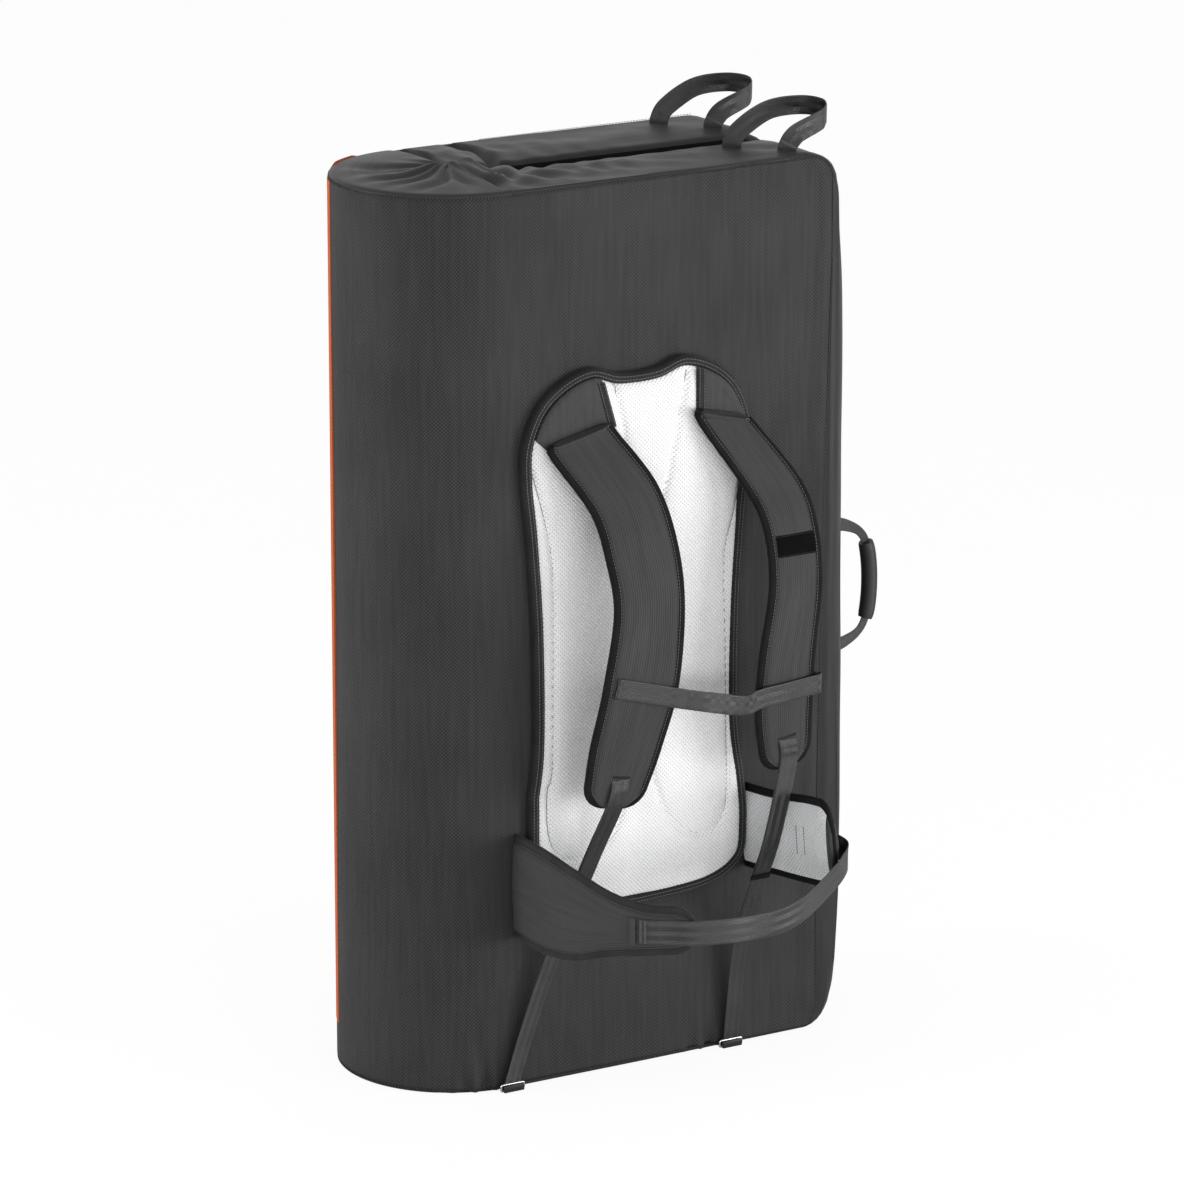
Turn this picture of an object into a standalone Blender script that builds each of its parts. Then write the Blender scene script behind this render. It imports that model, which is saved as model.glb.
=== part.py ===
"""Bouldering crash pad, folded like a taco and standing on its end.

Metres, +Z up. The carrying harness faces -Y, the fold is at -X and the open edge at +X.
The origin lies on the near half's flat bottom, in the middle of that half's thickness and
of the folded width.
"""
import math

import bmesh
import bpy
from mathutils import Matrix, Vector

# The pad as a whole
HEIGHT = 1.17
FOLDED_WIDTH = 0.65
HALF_THICKNESS = 0.13
SLOT_WIDTH = 0.04
CORNER_RADIUS = 0.06
EDGE_RADIUS = 0.028
CLEARANCE = 0.0003
FOLD_SLICES = 4
CORNER_STEPS = 4
EDGE_STEPS = 3

# Foam and cloth
COVER_THICKNESS = 0.002
CLOSED_CELL_THICKNESS = 0.012
ORANGE_THICKNESS = 0.0015
ORANGE_INSET = 0.055

# Back panel of the harness
PANEL_WIDTH = 0.336
PANEL_HEIGHT = 0.714
PANEL_BASE = 0.221
PANEL_OFF_CENTRE = 0.005
PANEL_THICKNESS = 0.012
PANEL_CROWN = 0.006
BORDER_WIDTH = 0.013
BORDER_THICKNESS = 0.0155
YOKE_THICKNESS = 0.003

# Shoulder straps
STRAP_WIDTH = 0.10
STRAP_THICKNESS = 0.012
STRAP_STANDOFF = 0.10
LEFT_SEAM_TILT = 13.0
RIGHT_SEAM_TILT = -14.0
SEAM_BLEND = 2.0
RIM_WIDTH = 0.009
RIM_SLOPE = 0.008
RIM_SHARE = 0.45
STERNUM_WIDTH = 0.022
STERNUM_PLAY = 0.003
STERNUM_BACK_GAP = 0.0008
STERNUM_HEIGHT = 0.522
STERNUM_SAG = 0.022
LABEL_HEIGHT = 0.028
LABEL_THICKNESS = 0.001
LABEL_WIDTH_SHARE = 0.6
LABEL_LEVEL_SHARE = 0.645

# Webbing and its fittings
WEBBING_WIDTH = 0.025
WEBBING_THICKNESS = 0.0016
BUCKLE_WIDTH = 0.033
BUCKLE_DEPTH = 0.011
BUCKLE_WIRE = 0.003
BUCKLE_LIFT = 0.0015
LEVER_LENGTH = 0.009
PIVOT_CLEARANCE = 0.0008

# Hip belt
WING_THICKNESS = 0.012
WING_LINING_THICKNESS = 0.0015
BELT_REACH = 0.27
LEFT_WING_HEIGHT = 0.136
RIGHT_WING_HEIGHT = 0.111
LEFT_WING_LEVEL = 0.272
RIGHT_WING_LEVEL = 0.298
BELT_GAP = 0.0007
WING_ROOT_GAP = 0.0005
ADJUSTER_WIDTH = 0.006
ADJUSTER_SPAN = 0.0275
ADJUSTER_THICKNESS = 0.003

# Carrying loops, side handle and zip
LOOP_RISE = 0.042
LOOP_SPAN = 0.12
LOOP_LEG_GAP = 0.055
LOOP_START = 0.205
LOOP_FOOT = 0.002
LOOP_PIVOT_CLEARANCE = 0.0006
NEAR_LOOP_SHARE = 0.25
FAR_LOOP_SHARE = 0.70
HANDLE_HEIGHT = 0.17
HANDLE_REACH = 0.082
HANDLE_LEVEL = 0.577
GRIP_RADIUS = 0.0115
GRIP_LENGTH = 0.105
HANDLE_TAPER_SHARE = 0.8
ZIP_LENGTH = 0.80
ZIP_WIDTH = 0.022
ZIP_THICKNESS = 0.0015
SLIDER_LENGTH = 0.016
SLIDER_WIDTH = 0.010
SLIDER_THICKNESS = 0.004

# Worked out from the sizes above
FOLD_RADIUS = HALF_THICKNESS + SLOT_WIDTH / 2
FOLD_X = FOLD_RADIUS - FOLDED_WIDTH / 2
OPEN_X = FOLDED_WIDTH / 2
INNER_RADIUS = SLOT_WIDTH / 2
SLICE_ANGLE = math.pi / FOLD_SLICES
FACE_Y = -FOLD_RADIUS
PANEL_FRONT = PANEL_THICKNESS + PANEL_CROWN

# Shares of half the panel's width and of its height, from the dip at the top down one side
PANEL_SHARES = [
    (0.0, 0.982), (0.18, 0.985), (0.405, 1.0), (0.655, 0.982), (0.863, 0.942), (0.985, 0.88),
    (1.0, 0.81), (0.952, 0.70), (0.905, 0.53), (0.893, 0.32), (0.94, 0.21), (0.952, 0.165),
    (0.80, 0.085), (0.50, 0.027), (0.0, 0.0),
]
# Places along each shoulder strap: across the panel, up the panel, standoff, width
LEFT_STRAP_SHARES = [
    (-0.575, 0.889, 0.303, 0.90), (-0.53, 0.868, 0.312, 0.93), (-0.298, 0.776, 0.60, 0.97),
    (-0.232, 0.685, 0.85, 1.0), (-0.22, 0.584, 1.0, 0.98), (-0.292, 0.447, 1.0, 1.06),
    (-0.381, 0.335, 0.88, 1.04), (-0.44, 0.262, 0.80, 0.86), (-0.464, 0.232, 0.77, 0.50),
]
RIGHT_STRAP_SHARES = [
    (0.68, 0.889, 0.300, 0.78), (0.732, 0.868, 0.307, 0.82), (1.042, 0.758, 0.60, 0.86),
    (1.119, 0.686, 0.85, 0.80), (1.119, 0.587, 1.0, 0.78), (1.054, 0.461, 1.0, 0.84),
    (1.042, 0.363, 0.95, 0.88), (1.077, 0.285, 0.88, 0.76), (1.083, 0.252, 0.85, 0.46),
]
# Corners of each yoke: across the panel and up the panel
LEFT_YOKE_SHARES = [
    (-0.33, 0.975), (-0.23, 0.895), (-0.80, 0.862), (-0.90, 0.885), (-0.74, 0.935), (-0.55, 0.965),
]
RIGHT_YOKE_SHARES = [
    (0.50, 0.972), (0.50, 0.895), (0.94, 0.872), (0.95, 0.90), (0.84, 0.932), (0.64, 0.962),
]
# Places along the lower webbings: across the panel, up from the floor to the strap end, standoff
LEFT_WEBBING_SHARES = [
    (-0.46, 0.985, 0.74), (-0.54, 0.80, 0.52), (-0.76, 0.50, 0.27), (-0.97, 0.22, 0.14), (-1.10, 0.045, 0.10),
]
RIGHT_WEBBING_SHARES = [
    (1.08, 0.985, 0.82), (0.93, 0.74, 0.86), (0.87, 0.58, 0.66), (0.88, 0.38, 0.28), (0.86, 0.043, 0.10),
]
# Places along the hip belt's wings: across the panel, standoff, height
LEFT_WING_SHARES = [
    (-1.03, 0.0, 1.0), (-1.10, 0.28, 0.93), (-1.05, 0.54, 0.76), (-0.86, 0.78, 0.58), (-0.60, 0.93, 0.46),
    (-0.40, 0.99, 0.34),
]
RIGHT_WING_SHARES = [(1.04, 0.0, 1.0), (1.10, 0.22, 0.92), (1.14, 0.41, 0.76), (1.135, 0.575, 0.50)]
# Places along the free stretch of the belt's webbing: across the panel, standoff, rise to the right wing
BELT_SHARES = [(-0.09, 1.10, 0.0), (0.34, 1.06, 0.0), (0.81, 0.86, 0.1), (1.125, 0.665, 0.55)]
# Places along a top loop: along its span, over to the front leg, rise, then its width's lean along and down
TOP_LOOP_SHARES = [
    (0.0, 0.0, 0.05, 1.0, 0.0), (0.10, 0.0, 0.45, 0.8, 0.5), (0.45, 0.0, 0.95, 0.2, 1.0), (0.85, 0.0, 1.0, 0.0, 1.0),
    (1.0, 0.5, 0.95, 0.0, 1.0), (0.85, 1.0, 0.80, 0.0, 1.0), (0.52, 1.0, 0.42, 0.4, 0.8), (0.40, 1.0, 0.05, 1.0, 0.0),
]
# Places along the side handle's upper half: reach and height
HANDLE_SHARES = [(0.0, 1.0), (0.55, 0.92), (0.90, 0.66), (1.0, 0.0)]


def material(name, colour, roughness, metallic=0.0):
    """One plain surface."""
    made = bpy.data.materials.new(name)
    made.use_nodes = True
    shader = made.node_tree.nodes["Principled BSDF"]
    shader.inputs["Base Color"].default_value = (*colour, 1.0)
    shader.inputs["Roughness"].default_value = roughness
    shader.inputs["Metallic"].default_value = metallic
    return made


def add(name, bm, surface, pivot=None, smooth=True):
    """Turn a bmesh into a named object whose origin is its pivot."""
    bmesh.ops.recalc_face_normals(bm, faces=bm.faces)
    place = Vector(pivot) if pivot else Vector((0.0, 0.0, 0.0))
    bm.transform(Matrix.Translation(-place))
    mesh = bpy.data.meshes.new(name)
    bm.to_mesh(mesh)
    bm.free()
    if smooth:
        mesh.shade_smooth()
        mesh.set_sharp_from_angle(angle=math.radians(40))
    made = bpy.data.objects.new(name, mesh)
    made.location = place
    mesh.materials.append(surface)
    bpy.context.collection.objects.link(made)
    return made


def skin(loops):
    """Close a stack of loops of equal count into one body with flat ends."""
    bm = bmesh.new()
    rings = [[bm.verts.new(point) for point in loop] for loop in loops]
    count = len(rings[0])
    for low, high in zip(rings, rings[1:]):
        for index in range(count):
            after = (index + 1) % count
            bm.faces.new((low[index], low[after], high[after], high[index]))
    bm.faces.new(list(reversed(rings[0])))
    bm.faces.new(rings[-1])
    return bm


def smooth_path(points, steps):
    """Points on a smooth curve through the given ones, each a tuple of numbers."""
    ends = [points[0], *points, points[-1]]
    path = []
    for first, start, stop, last in zip(ends, ends[1:], ends[2:], ends[3:]):
        for step in range(steps):
            t = step / steps
            path.append(tuple(
                0.5 * (2 * b + (c - a) * t + (2 * a - 5 * b + 4 * c - d) * t * t
                       + (3 * b - a - 3 * c + d) * t ** 3)
                for a, b, c, d in zip(first, start, stop, last)))
    path.append(tuple(points[-1]))
    return path


def direction(path, index):
    """Direction of a path at one of its points."""
    before = Vector(path[max(index - 1, 0)])
    after = Vector(path[min(index + 1, len(path) - 1)])
    return (after - before).normalized()


def band(centres, widths, thicknesses, sides, rounded=True, square=True):
    """Loops of a flat band along a path; sides are its width's directions, made square to it if asked."""
    loops = []
    for index, centre in enumerate(centres):
        half = thicknesses[index] / 2
        rim = half * RIM_SHARE
        along = direction(centres, index)
        side = Vector(sides[index])
        if square:
            side = (side - along * side.dot(along)).normalized()
        out = along.cross(side).normalized()
        reach = widths[index] / 2
        if rounded:
            right = [(reach - RIM_WIDTH - RIM_SLOPE, half), (reach - RIM_WIDTH, rim), (reach, rim)]
            upper = [(-u, v) for u, v in reversed(right)] + right
            outline = [(u, -v) for u, v in upper] + list(reversed(upper))
        else:
            outline = [(-reach, -half), (reach, -half), (reach, half), (-reach, half)]
        loops.append([Vector(centre) + side * u + out * v for u, v in outline])
    return loops


def webbing_band(path, width, sides):
    """Loops of plain webbing along a path."""
    return band(path, [width] * len(path), [WEBBING_THICKNESS] * len(path), sides, False)


def half_outline(inset, radius):
    """A half's outline in X and Z: square at the fold, round at the open edge."""
    right = OPEN_X - inset
    low = inset
    high = HEIGHT - inset
    turn = max(radius - inset, EDGE_RADIUS / 4)
    points = [(FOLD_X + CLEARANCE / 2, low)]
    for centre_z, start in ((low + turn, -90), (high - turn, 0)):
        for step in range(CORNER_STEPS + 1):
            angle = math.radians(start + 90 * step / CORNER_STEPS)
            points.append((right - turn + turn * math.cos(angle), centre_z + turn * math.sin(angle)))
    points.append((FOLD_X + CLEARANCE / 2, high))
    return points


def edge_levels(depth, start, radius):
    """Distances from the face and insets that round the outer edge, inwards from the face."""
    levels = [(start, radius)]
    for step in range(1, EDGE_STEPS + 1):
        angle = math.radians(90 * step / EDGE_STEPS)
        levels.append((start + radius * (1 - math.cos(angle)), radius * (1 - math.sin(angle))))
    levels.append((depth, 0.0))
    return levels


def half_block(side, outer, depth, inset):
    """Closed block of a half between two depths, measured in from the outer face."""
    radius = EDGE_RADIUS - inset
    levels = [(place, inset + extra) for place, extra in edge_levels(depth, outer, radius)]
    return skin([[(x, side * (FOLD_RADIUS - place), z) for x, z in half_outline(cut, CORNER_RADIUS)]
                 for place, cut in levels])


def slab(side, outer, inner, inset):
    """Flat sheet of a half between two depths."""
    outline = half_outline(inset, CORNER_RADIUS)
    return skin([[(x, side * (FOLD_RADIUS - place), z) for x, z in outline] for place in (outer, inner)])


def cut_out(target, cutter_mesh, name):
    """Take a cutter away from a body."""
    cutter = add(name, cutter_mesh, target.data.materials[0], smooth=False)
    cutter.hide_render = True
    cutter.display_type = "WIRE"
    cut = target.modifiers.new(name, "BOOLEAN")
    cut.operation = "DIFFERENCE"
    cut.solver = "EXACT"
    cut.object = cutter


def half_shell(name, side, surface, pivot):
    """Outer cover of a half: face and walls, open to the landing side and to the fold."""
    inner_depth = HALF_THICKNESS - COVER_THICKNESS - CLEARANCE
    shell = add(name, half_block(side, 0.0, inner_depth, 0.0), surface, pivot)
    levels = edge_levels(HALF_THICKNESS, COVER_THICKNESS, EDGE_RADIUS - COVER_THICKNESS)
    loops = []
    for place, extra in levels:
        outline = half_outline(COVER_THICKNESS + extra, CORNER_RADIUS)
        moved = [(x - EDGE_RADIUS if index in (0, len(outline) - 1) else x, z)
                 for index, (x, z) in enumerate(outline)]
        loops.append([(x, side * (FOLD_RADIUS - place), z) for x, z in moved])
    cut_out(shell, skin(loops), name + "_hollow")


def slice_section(outer, inner, inset):
    """Section of a fold slice in radius and Z, round at its two outer corners."""
    low = inset
    high = HEIGHT - inset
    turn = EDGE_RADIUS - inset
    points = [(inner, low)]
    for centre_z, start in ((low + turn, -90), (high - turn, 0)):
        for step in range(EDGE_STEPS + 1):
            angle = math.radians(start + 90 * step / EDGE_STEPS)
            points.append((outer - turn + turn * math.cos(angle), centre_z + turn * math.sin(angle)))
    points.append((inner, high))
    return points


def slice_cover_section(outer, inner, inset):
    """The cover's C-shaped section: the outer wall with a gusset at the top and bottom."""
    outside = slice_section(outer, inner, inset)
    inside = slice_section(outer - COVER_THICKNESS, inner, inset + COVER_THICKNESS)
    return outside + list(reversed(inside))


def sweep_slice(section, index):
    """Sweep a section through one slice of the fold."""
    gap = CLEARANCE / 2 / INNER_RADIUS
    start = math.radians(270) - index * SLICE_ANGLE - gap
    stop = start - SLICE_ANGLE + 2 * gap
    steps = 4
    loops = []
    for step in range(steps + 1):
        angle = start + (stop - start) * step / steps
        loops.append([(FOLD_X + radius * math.cos(angle), radius * math.sin(angle), z) for radius, z in section])
    return skin(loops)


def hinge_point(index):
    """Point on the fold's outer surface where two slices are joined."""
    angle = math.radians(270) - index * SLICE_ANGLE
    return (FOLD_X + FOLD_RADIUS * math.cos(angle), FOLD_RADIUS * math.sin(angle), 0.0)


def fold(foam, cloth, orange):
    """The bent middle of the pad, in equal slices."""
    foam_inset = COVER_THICKNESS + CLEARANCE
    for index in range(FOLD_SLICES):
        number = str(index + 1)
        pivot = hinge_point(index)
        section = slice_section(FOLD_RADIUS - foam_inset, INNER_RADIUS, foam_inset)
        add("fold_foam_" + number, sweep_slice(section, index), foam, pivot)
        section = slice_cover_section(FOLD_RADIUS, INNER_RADIUS, 0.0)
        add("fold_cover_" + number, sweep_slice(section, index), cloth, pivot)
        if index >= FOLD_SLICES / 2:
            inside = FOLD_RADIUS + CLEARANCE
            outside = inside + ORANGE_THICKNESS
            section = [(inside, ORANGE_INSET), (outside, ORANGE_INSET),
                       (outside, HEIGHT - EDGE_RADIUS), (inside, HEIGHT - EDGE_RADIUS)]
            add("fold_panel_" + number, sweep_slice(section, index), orange, pivot)


def half(name, side, foam, closed_cell, cloth, landing, pivot=None):
    """Foam, closed-cell sheet, outer cover and landing cover of one half."""
    inset = COVER_THICKNESS + CLEARANCE
    sheet_start = HALF_THICKNESS - COVER_THICKNESS - 2 * CLEARANCE - CLOSED_CELL_THICKNESS
    sheet_end = HALF_THICKNESS - COVER_THICKNESS - 2 * CLEARANCE
    add(name + "_foam", half_block(side, inset, sheet_start - CLEARANCE, inset), foam, pivot)
    add(name + "_closed_cell_sheet", slab(side, sheet_start, sheet_end, inset), closed_cell, pivot)
    half_shell(name + "_outer_cover", side, cloth, pivot)
    landing_start = HALF_THICKNESS - COVER_THICKNESS
    add(name + "_landing_cover", slab(side, landing_start, HALF_THICKNESS, 0.0), landing, pivot)


def panel_point(across, up):
    """Place on the pad's face, from shares of half the panel's width and of its height."""
    return (PANEL_OFF_CENTRE + across * PANEL_WIDTH / 2, PANEL_BASE + up * PANEL_HEIGHT)


def panel_outline():
    """The panel's closed outline in X and Z."""
    right = smooth_path(PANEL_SHARES, 3)
    shares = right + [(-across, up) for across, up in reversed(right[1:-1])]
    return [panel_point(across, up) for across, up in shares]


def shrink(outline, distance):
    """Move a closed outline inwards along its own normals."""
    points = [Vector(point) for point in outline]
    moved = []
    for index, point in enumerate(points):
        along = (points[(index + 1) % len(points)] - points[index - 1]).normalized()
        moved.append(point + Vector((along.y, -along.x)) * distance)
    return moved


def back_panel(mesh_cloth, binding):
    """Padded spacer-mesh panel inside its stitched border."""
    outline = panel_outline()
    back = FACE_Y - CLEARANCE
    edge = BORDER_WIDTH + CLEARANCE
    levels = [(edge, 0.0), (edge, PANEL_THICKNESS), (edge + PANEL_THICKNESS, PANEL_THICKNESS + PANEL_CROWN / 2),
              (edge + 2 * PANEL_THICKNESS, PANEL_FRONT)]
    add("back_panel_mesh", skin([[(x, back - out, z) for x, z in shrink(outline, inset)]
                                 for inset, out in levels]), mesh_cloth)
    bm = bmesh.new()
    rings = []
    for inset, out in ((0.0, 0.0), (0.0, BORDER_THICKNESS), (BORDER_WIDTH, BORDER_THICKNESS), (BORDER_WIDTH, 0.0)):
        rings.append([bm.verts.new((x, back - out, z)) for x, z in shrink(outline, inset)])
    count = len(outline)
    for low, high in zip(rings, rings[1:] + rings[:1]):
        for index in range(count):
            after = (index + 1) % count
            bm.faces.new((low[index], low[after], high[after], high[index]))
    add("back_panel_border", bm, binding)


def yoke(name, shares, surface):
    """Flat cloth yoke that a shoulder strap is sewn into, on the panel's top."""
    back = FACE_Y - PANEL_FRONT - 2 * CLEARANCE
    points = [panel_point(across, up) for across, up in shares]
    layers = [[(x, back - out, z) for x, z in points] for out in (0.0, YOKE_THICKNESS)]
    add(name, skin(layers), surface, smooth=False)


def strap_points(shares):
    """Centres and widths along a shoulder strap."""
    path = smooth_path(shares, 4)
    centres = []
    for across, up, out, width in path:
        x, z = panel_point(across, up)
        centres.append((x, FACE_Y - out * STRAP_STANDOFF, z))
    return centres, [width * STRAP_WIDTH for across, up, out, width in path]


def strap_at(shares, level):
    """Centre, half width and upward direction of a strap at one height."""
    centres, widths = strap_points(shares)
    nearest = min(range(len(centres)), key=lambda index: abs(centres[index][2] - level))
    return centres[nearest], widths[nearest] / 2, -direction(centres, nearest)


def shoulder_strap(name, shares, seam_tilt, surface, pivot):
    """Padded strap that bows away from the panel, its top cut along the yoke's seam."""
    centres, widths = strap_points(shares)
    seam = Vector((1.0, 0.0, math.tan(math.radians(seam_tilt))))
    sides = []
    for index in range(len(centres)):
        along = direction(centres, index)
        across = (Vector((1.0, 0.0, 0.0)) - along * along.x).normalized()
        blend = min(1.0, SEAM_BLEND * index / len(centres))
        sides.append(seam.lerp(across, blend))
    add(name, skin(band(centres, widths, [STRAP_THICKNESS] * len(centres), sides, square=False)), surface, pivot)


def sternum_strap(surface):
    """Webbing across the chest, looped round both shoulder straps."""
    behind = STRAP_THICKNESS / 2 + WEBBING_THICKNESS / 2 + STERNUM_BACK_GAP
    front = STRAP_THICKNESS / 2 + WEBBING_THICKNESS / 2 + STERNUM_PLAY
    points = []
    sides = []
    for shares, way in ((LEFT_STRAP_SHARES, -1), (RIGHT_STRAP_SHARES, 1)):
        (x, y, level), reach, upward = strap_at(shares, STERNUM_HEIGHT)
        outer = reach + STERNUM_PLAY + WEBBING_THICKNESS
        turn = outer - front / 3
        wrap = [(x + way * reach / 4, y + behind, level), (x + way * turn, y + behind, level),
                (x + way * outer, y, level), (x + way * turn, y - front, level),
                (x - way * reach / 2, y - front, level - STERNUM_SAG / 4)]
        points.append(wrap if way < 0 else list(reversed(wrap)))
        sides.append([tuple(upward)] * len(wrap))
    left, right = points
    middle = tuple((a + b) / 2 for a, b in zip(left[-1], right[0]))
    sag = (middle[0], middle[1], middle[2] - STERNUM_SAG)
    path = smooth_path(left + [sag] + right, 4)
    turned = smooth_path(sides[0] + [(0.0, 0.0, 1.0)] + sides[1], 4)
    add("sternum_strap", skin(webbing_band(path, STERNUM_WIDTH, turned)), surface)


def label_patch(surface):
    """Bare woven label across the right shoulder strap."""
    level = panel_point(0.0, LABEL_LEVEL_SHARE)[1]
    centres, widths = strap_points(RIGHT_STRAP_SHARES)
    index = min(range(len(centres)), key=lambda place: abs(centres[place][2] - level))
    low = Vector(centres[index + 1])
    high = Vector(centres[index - 1])
    along = (high - low).normalized()
    side = Vector((1.0, 0.0, 0.0))
    side = (side - along * side.dot(along)).normalized()
    out = side.cross(along)
    if out.y > 0:
        out = -out
    lift = STRAP_THICKNESS / 2 + LABEL_THICKNESS / 2 + CLEARANCE
    middle = Vector(centres[index]) + out * lift
    ends = [middle - along * LABEL_HEIGHT / 2, middle + along * LABEL_HEIGHT / 2]
    width = widths[index] * LABEL_WIDTH_SHARE
    add("label_patch", skin(band(ends, [width] * 2, [LABEL_THICKNESS] * 2, [side] * 2, False)), surface)


def lower_webbing(name, shares, strap_shares, surface):
    """Webbing from a shoulder strap's end down to its buckle at the bottom edge."""
    top = strap_points(strap_shares)[0][-1][2]
    points = []
    for across, up, out in shares:
        points.append((panel_point(across, 0.0)[0], FACE_Y - out * STRAP_STANDOFF, up * top))
    x, y, z = points[-1]
    points[-1] = (x, y, BUCKLE_LIFT + BUCKLE_DEPTH + CLEARANCE)
    path = smooth_path(points, 4)
    sides = [(1.0, 0.0, 0.0)] * len(path)
    thin = [WEBBING_THICKNESS] * len(path)
    add(name, skin(band(path, [WEBBING_WIDTH] * len(path), thin, sides, False, square=False)), surface)
    return points[-1]


def box(low, high):
    """Loops of a plain box."""
    (x0, y0, z0), (x1, y1, z1) = low, high
    return [[(x0, y0, z), (x1, y0, z), (x1, y1, z), (x0, y1, z)] for z in (z0, z1)]


def buckle(side, place, metal, dark):
    """Wire frame, lever and sewn tab at the pad's bottom edge."""
    x = place[0]
    y = place[1]
    low = BUCKLE_LIFT
    high = low + BUCKLE_DEPTH
    left = x - BUCKLE_WIDTH / 2
    right = x + BUCKLE_WIDTH / 2
    front = y - BUCKLE_WIRE / 2
    rear = y + BUCKLE_WIRE / 2
    frame = add("buckle_frame_" + side, skin(box((left, front, low), (right, rear, high))), metal, smooth=False)
    window = box((left + BUCKLE_WIRE, front - BUCKLE_WIRE, low + BUCKLE_WIRE),
                 (right - BUCKLE_WIRE, rear + BUCKLE_WIRE, high - BUCKLE_WIRE))
    cut_out(frame, skin(window), "buckle_window_" + side)
    lever_rear = front - PIVOT_CLEARANCE
    lever_low = low
    lever = box((left + BUCKLE_WIRE, lever_rear - BUCKLE_WIRE, lever_low),
                (right - BUCKLE_WIRE, lever_rear, lever_low + LEVER_LENGTH))
    pivot = (x, lever_rear - BUCKLE_WIRE / 2, lever_low + BUCKLE_WIRE / 2)
    add("buckle_lever_" + side, skin(lever), dark, pivot, smooth=False)
    tab_left = max(x - WEBBING_WIDTH / 2, FOLD_X + CLEARANCE)
    tab = box((tab_left, rear + CLEARANCE, low),
              (x + WEBBING_WIDTH / 2, FACE_Y + EDGE_RADIUS / 2, low + WEBBING_THICKNESS))
    add("buckle_tab_" + side, skin(tab), dark, smooth=False)


def wing_points(shares, level, height):
    """Centres and heights along one wing of the hip belt, from its root's pivot."""
    path = smooth_path(shares, 5)
    root = FACE_Y - WING_THICKNESS / 2 - WING_ROOT_GAP
    centres = [(panel_point(across, 0.0)[0], root - out * BELT_REACH, level) for across, out, share in path]
    return centres, [share * height for across, out, share in path]


def offset(centres, distance):
    """Move a level path sideways, to the left of its direction."""
    moved = []
    for index, centre in enumerate(centres):
        along = direction(centres, index)
        moved.append(tuple(Vector(centre) + Vector((-along.y, along.x, 0.0)) * distance))
    return moved


def wing(side, shares, level, height, inward, cloth, mesh_cloth):
    """Padded wing with its own mesh lining on the inner face."""
    centres, heights = wing_points(shares, level, height)
    pivot = centres[0]
    rounds = []
    for angle in (80, 55, 30):
        back = WING_THICKNESS / 2 * math.sin(math.radians(angle))
        rounds.append(((pivot[0], pivot[1] + back, pivot[2]), WING_THICKNESS * math.cos(math.radians(angle))))
    whole = [place for place, thickness in rounds] + centres
    thicknesses = [thickness for place, thickness in rounds] + [WING_THICKNESS] * len(centres)
    tall = [heights[0]] * len(rounds) + heights
    upright = [(0.0, 0.0, 1.0)] * len(whole)
    add("hip_wing_" + side, skin(band(whole, tall, thicknesses, upright)), cloth, pivot)
    shift = inward * (WING_THICKNESS / 2 + WING_LINING_THICKNESS / 2 + CLEARANCE)
    lined = offset(centres, shift)[1:-1]
    narrow = [size - 2 * (RIM_WIDTH + RIM_SLOPE) for size in heights[1:-1]]
    thin = [WING_LINING_THICKNESS] * len(lined)
    add("hip_lining_" + side, skin(band(lined, narrow, thin, upright[:len(lined)], False)), mesh_cloth, pivot)


def belt(webbing, dark):
    """Belt webbing from the left wing's face round to the outside of the right wing."""
    lift = WING_THICKNESS / 2 + WEBBING_THICKNESS / 2 + BELT_GAP
    left = offset(wing_points(LEFT_WING_SHARES, LEFT_WING_LEVEL, LEFT_WING_HEIGHT)[0], -lift)[17:]
    right = offset(wing_points(RIGHT_WING_SHARES, RIGHT_WING_LEVEL, RIGHT_WING_HEIGHT)[0], lift)[4:-1]
    rise = RIGHT_WING_LEVEL - LEFT_WING_LEVEL
    free = [(panel_point(across, 0.0)[0], FACE_Y - out * BELT_REACH, LEFT_WING_LEVEL + up * rise)
            for across, out, up in BELT_SHARES]
    path = smooth_path(left[::3] + free + list(reversed(right))[::3], 4)
    upright = [(0.0, 0.0, 1.0)] * len(path)
    pivot = wing_points(RIGHT_WING_SHARES, RIGHT_WING_LEVEL, RIGHT_WING_HEIGHT)[0][0]
    add("belt_webbing", skin(webbing_band(path, WEBBING_WIDTH, upright)), webbing, pivot)
    start = Vector(path[0])
    along = (Vector(path[2]) - start).normalized()
    out = Vector((along.y, -along.x, 0.0))
    middle = start + out * (WEBBING_THICKNESS / 2 + ADJUSTER_THICKNESS / 2 + CLEARANCE) + along * ADJUSTER_WIDTH
    ends = [middle - along * ADJUSTER_WIDTH / 2, middle + along * ADJUSTER_WIDTH / 2]
    bar = band(ends, [ADJUSTER_SPAN] * 2, [ADJUSTER_THICKNESS] * 2, upright[:2], False)
    add("belt_adjuster", skin(bar), dark, pivot)


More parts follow.
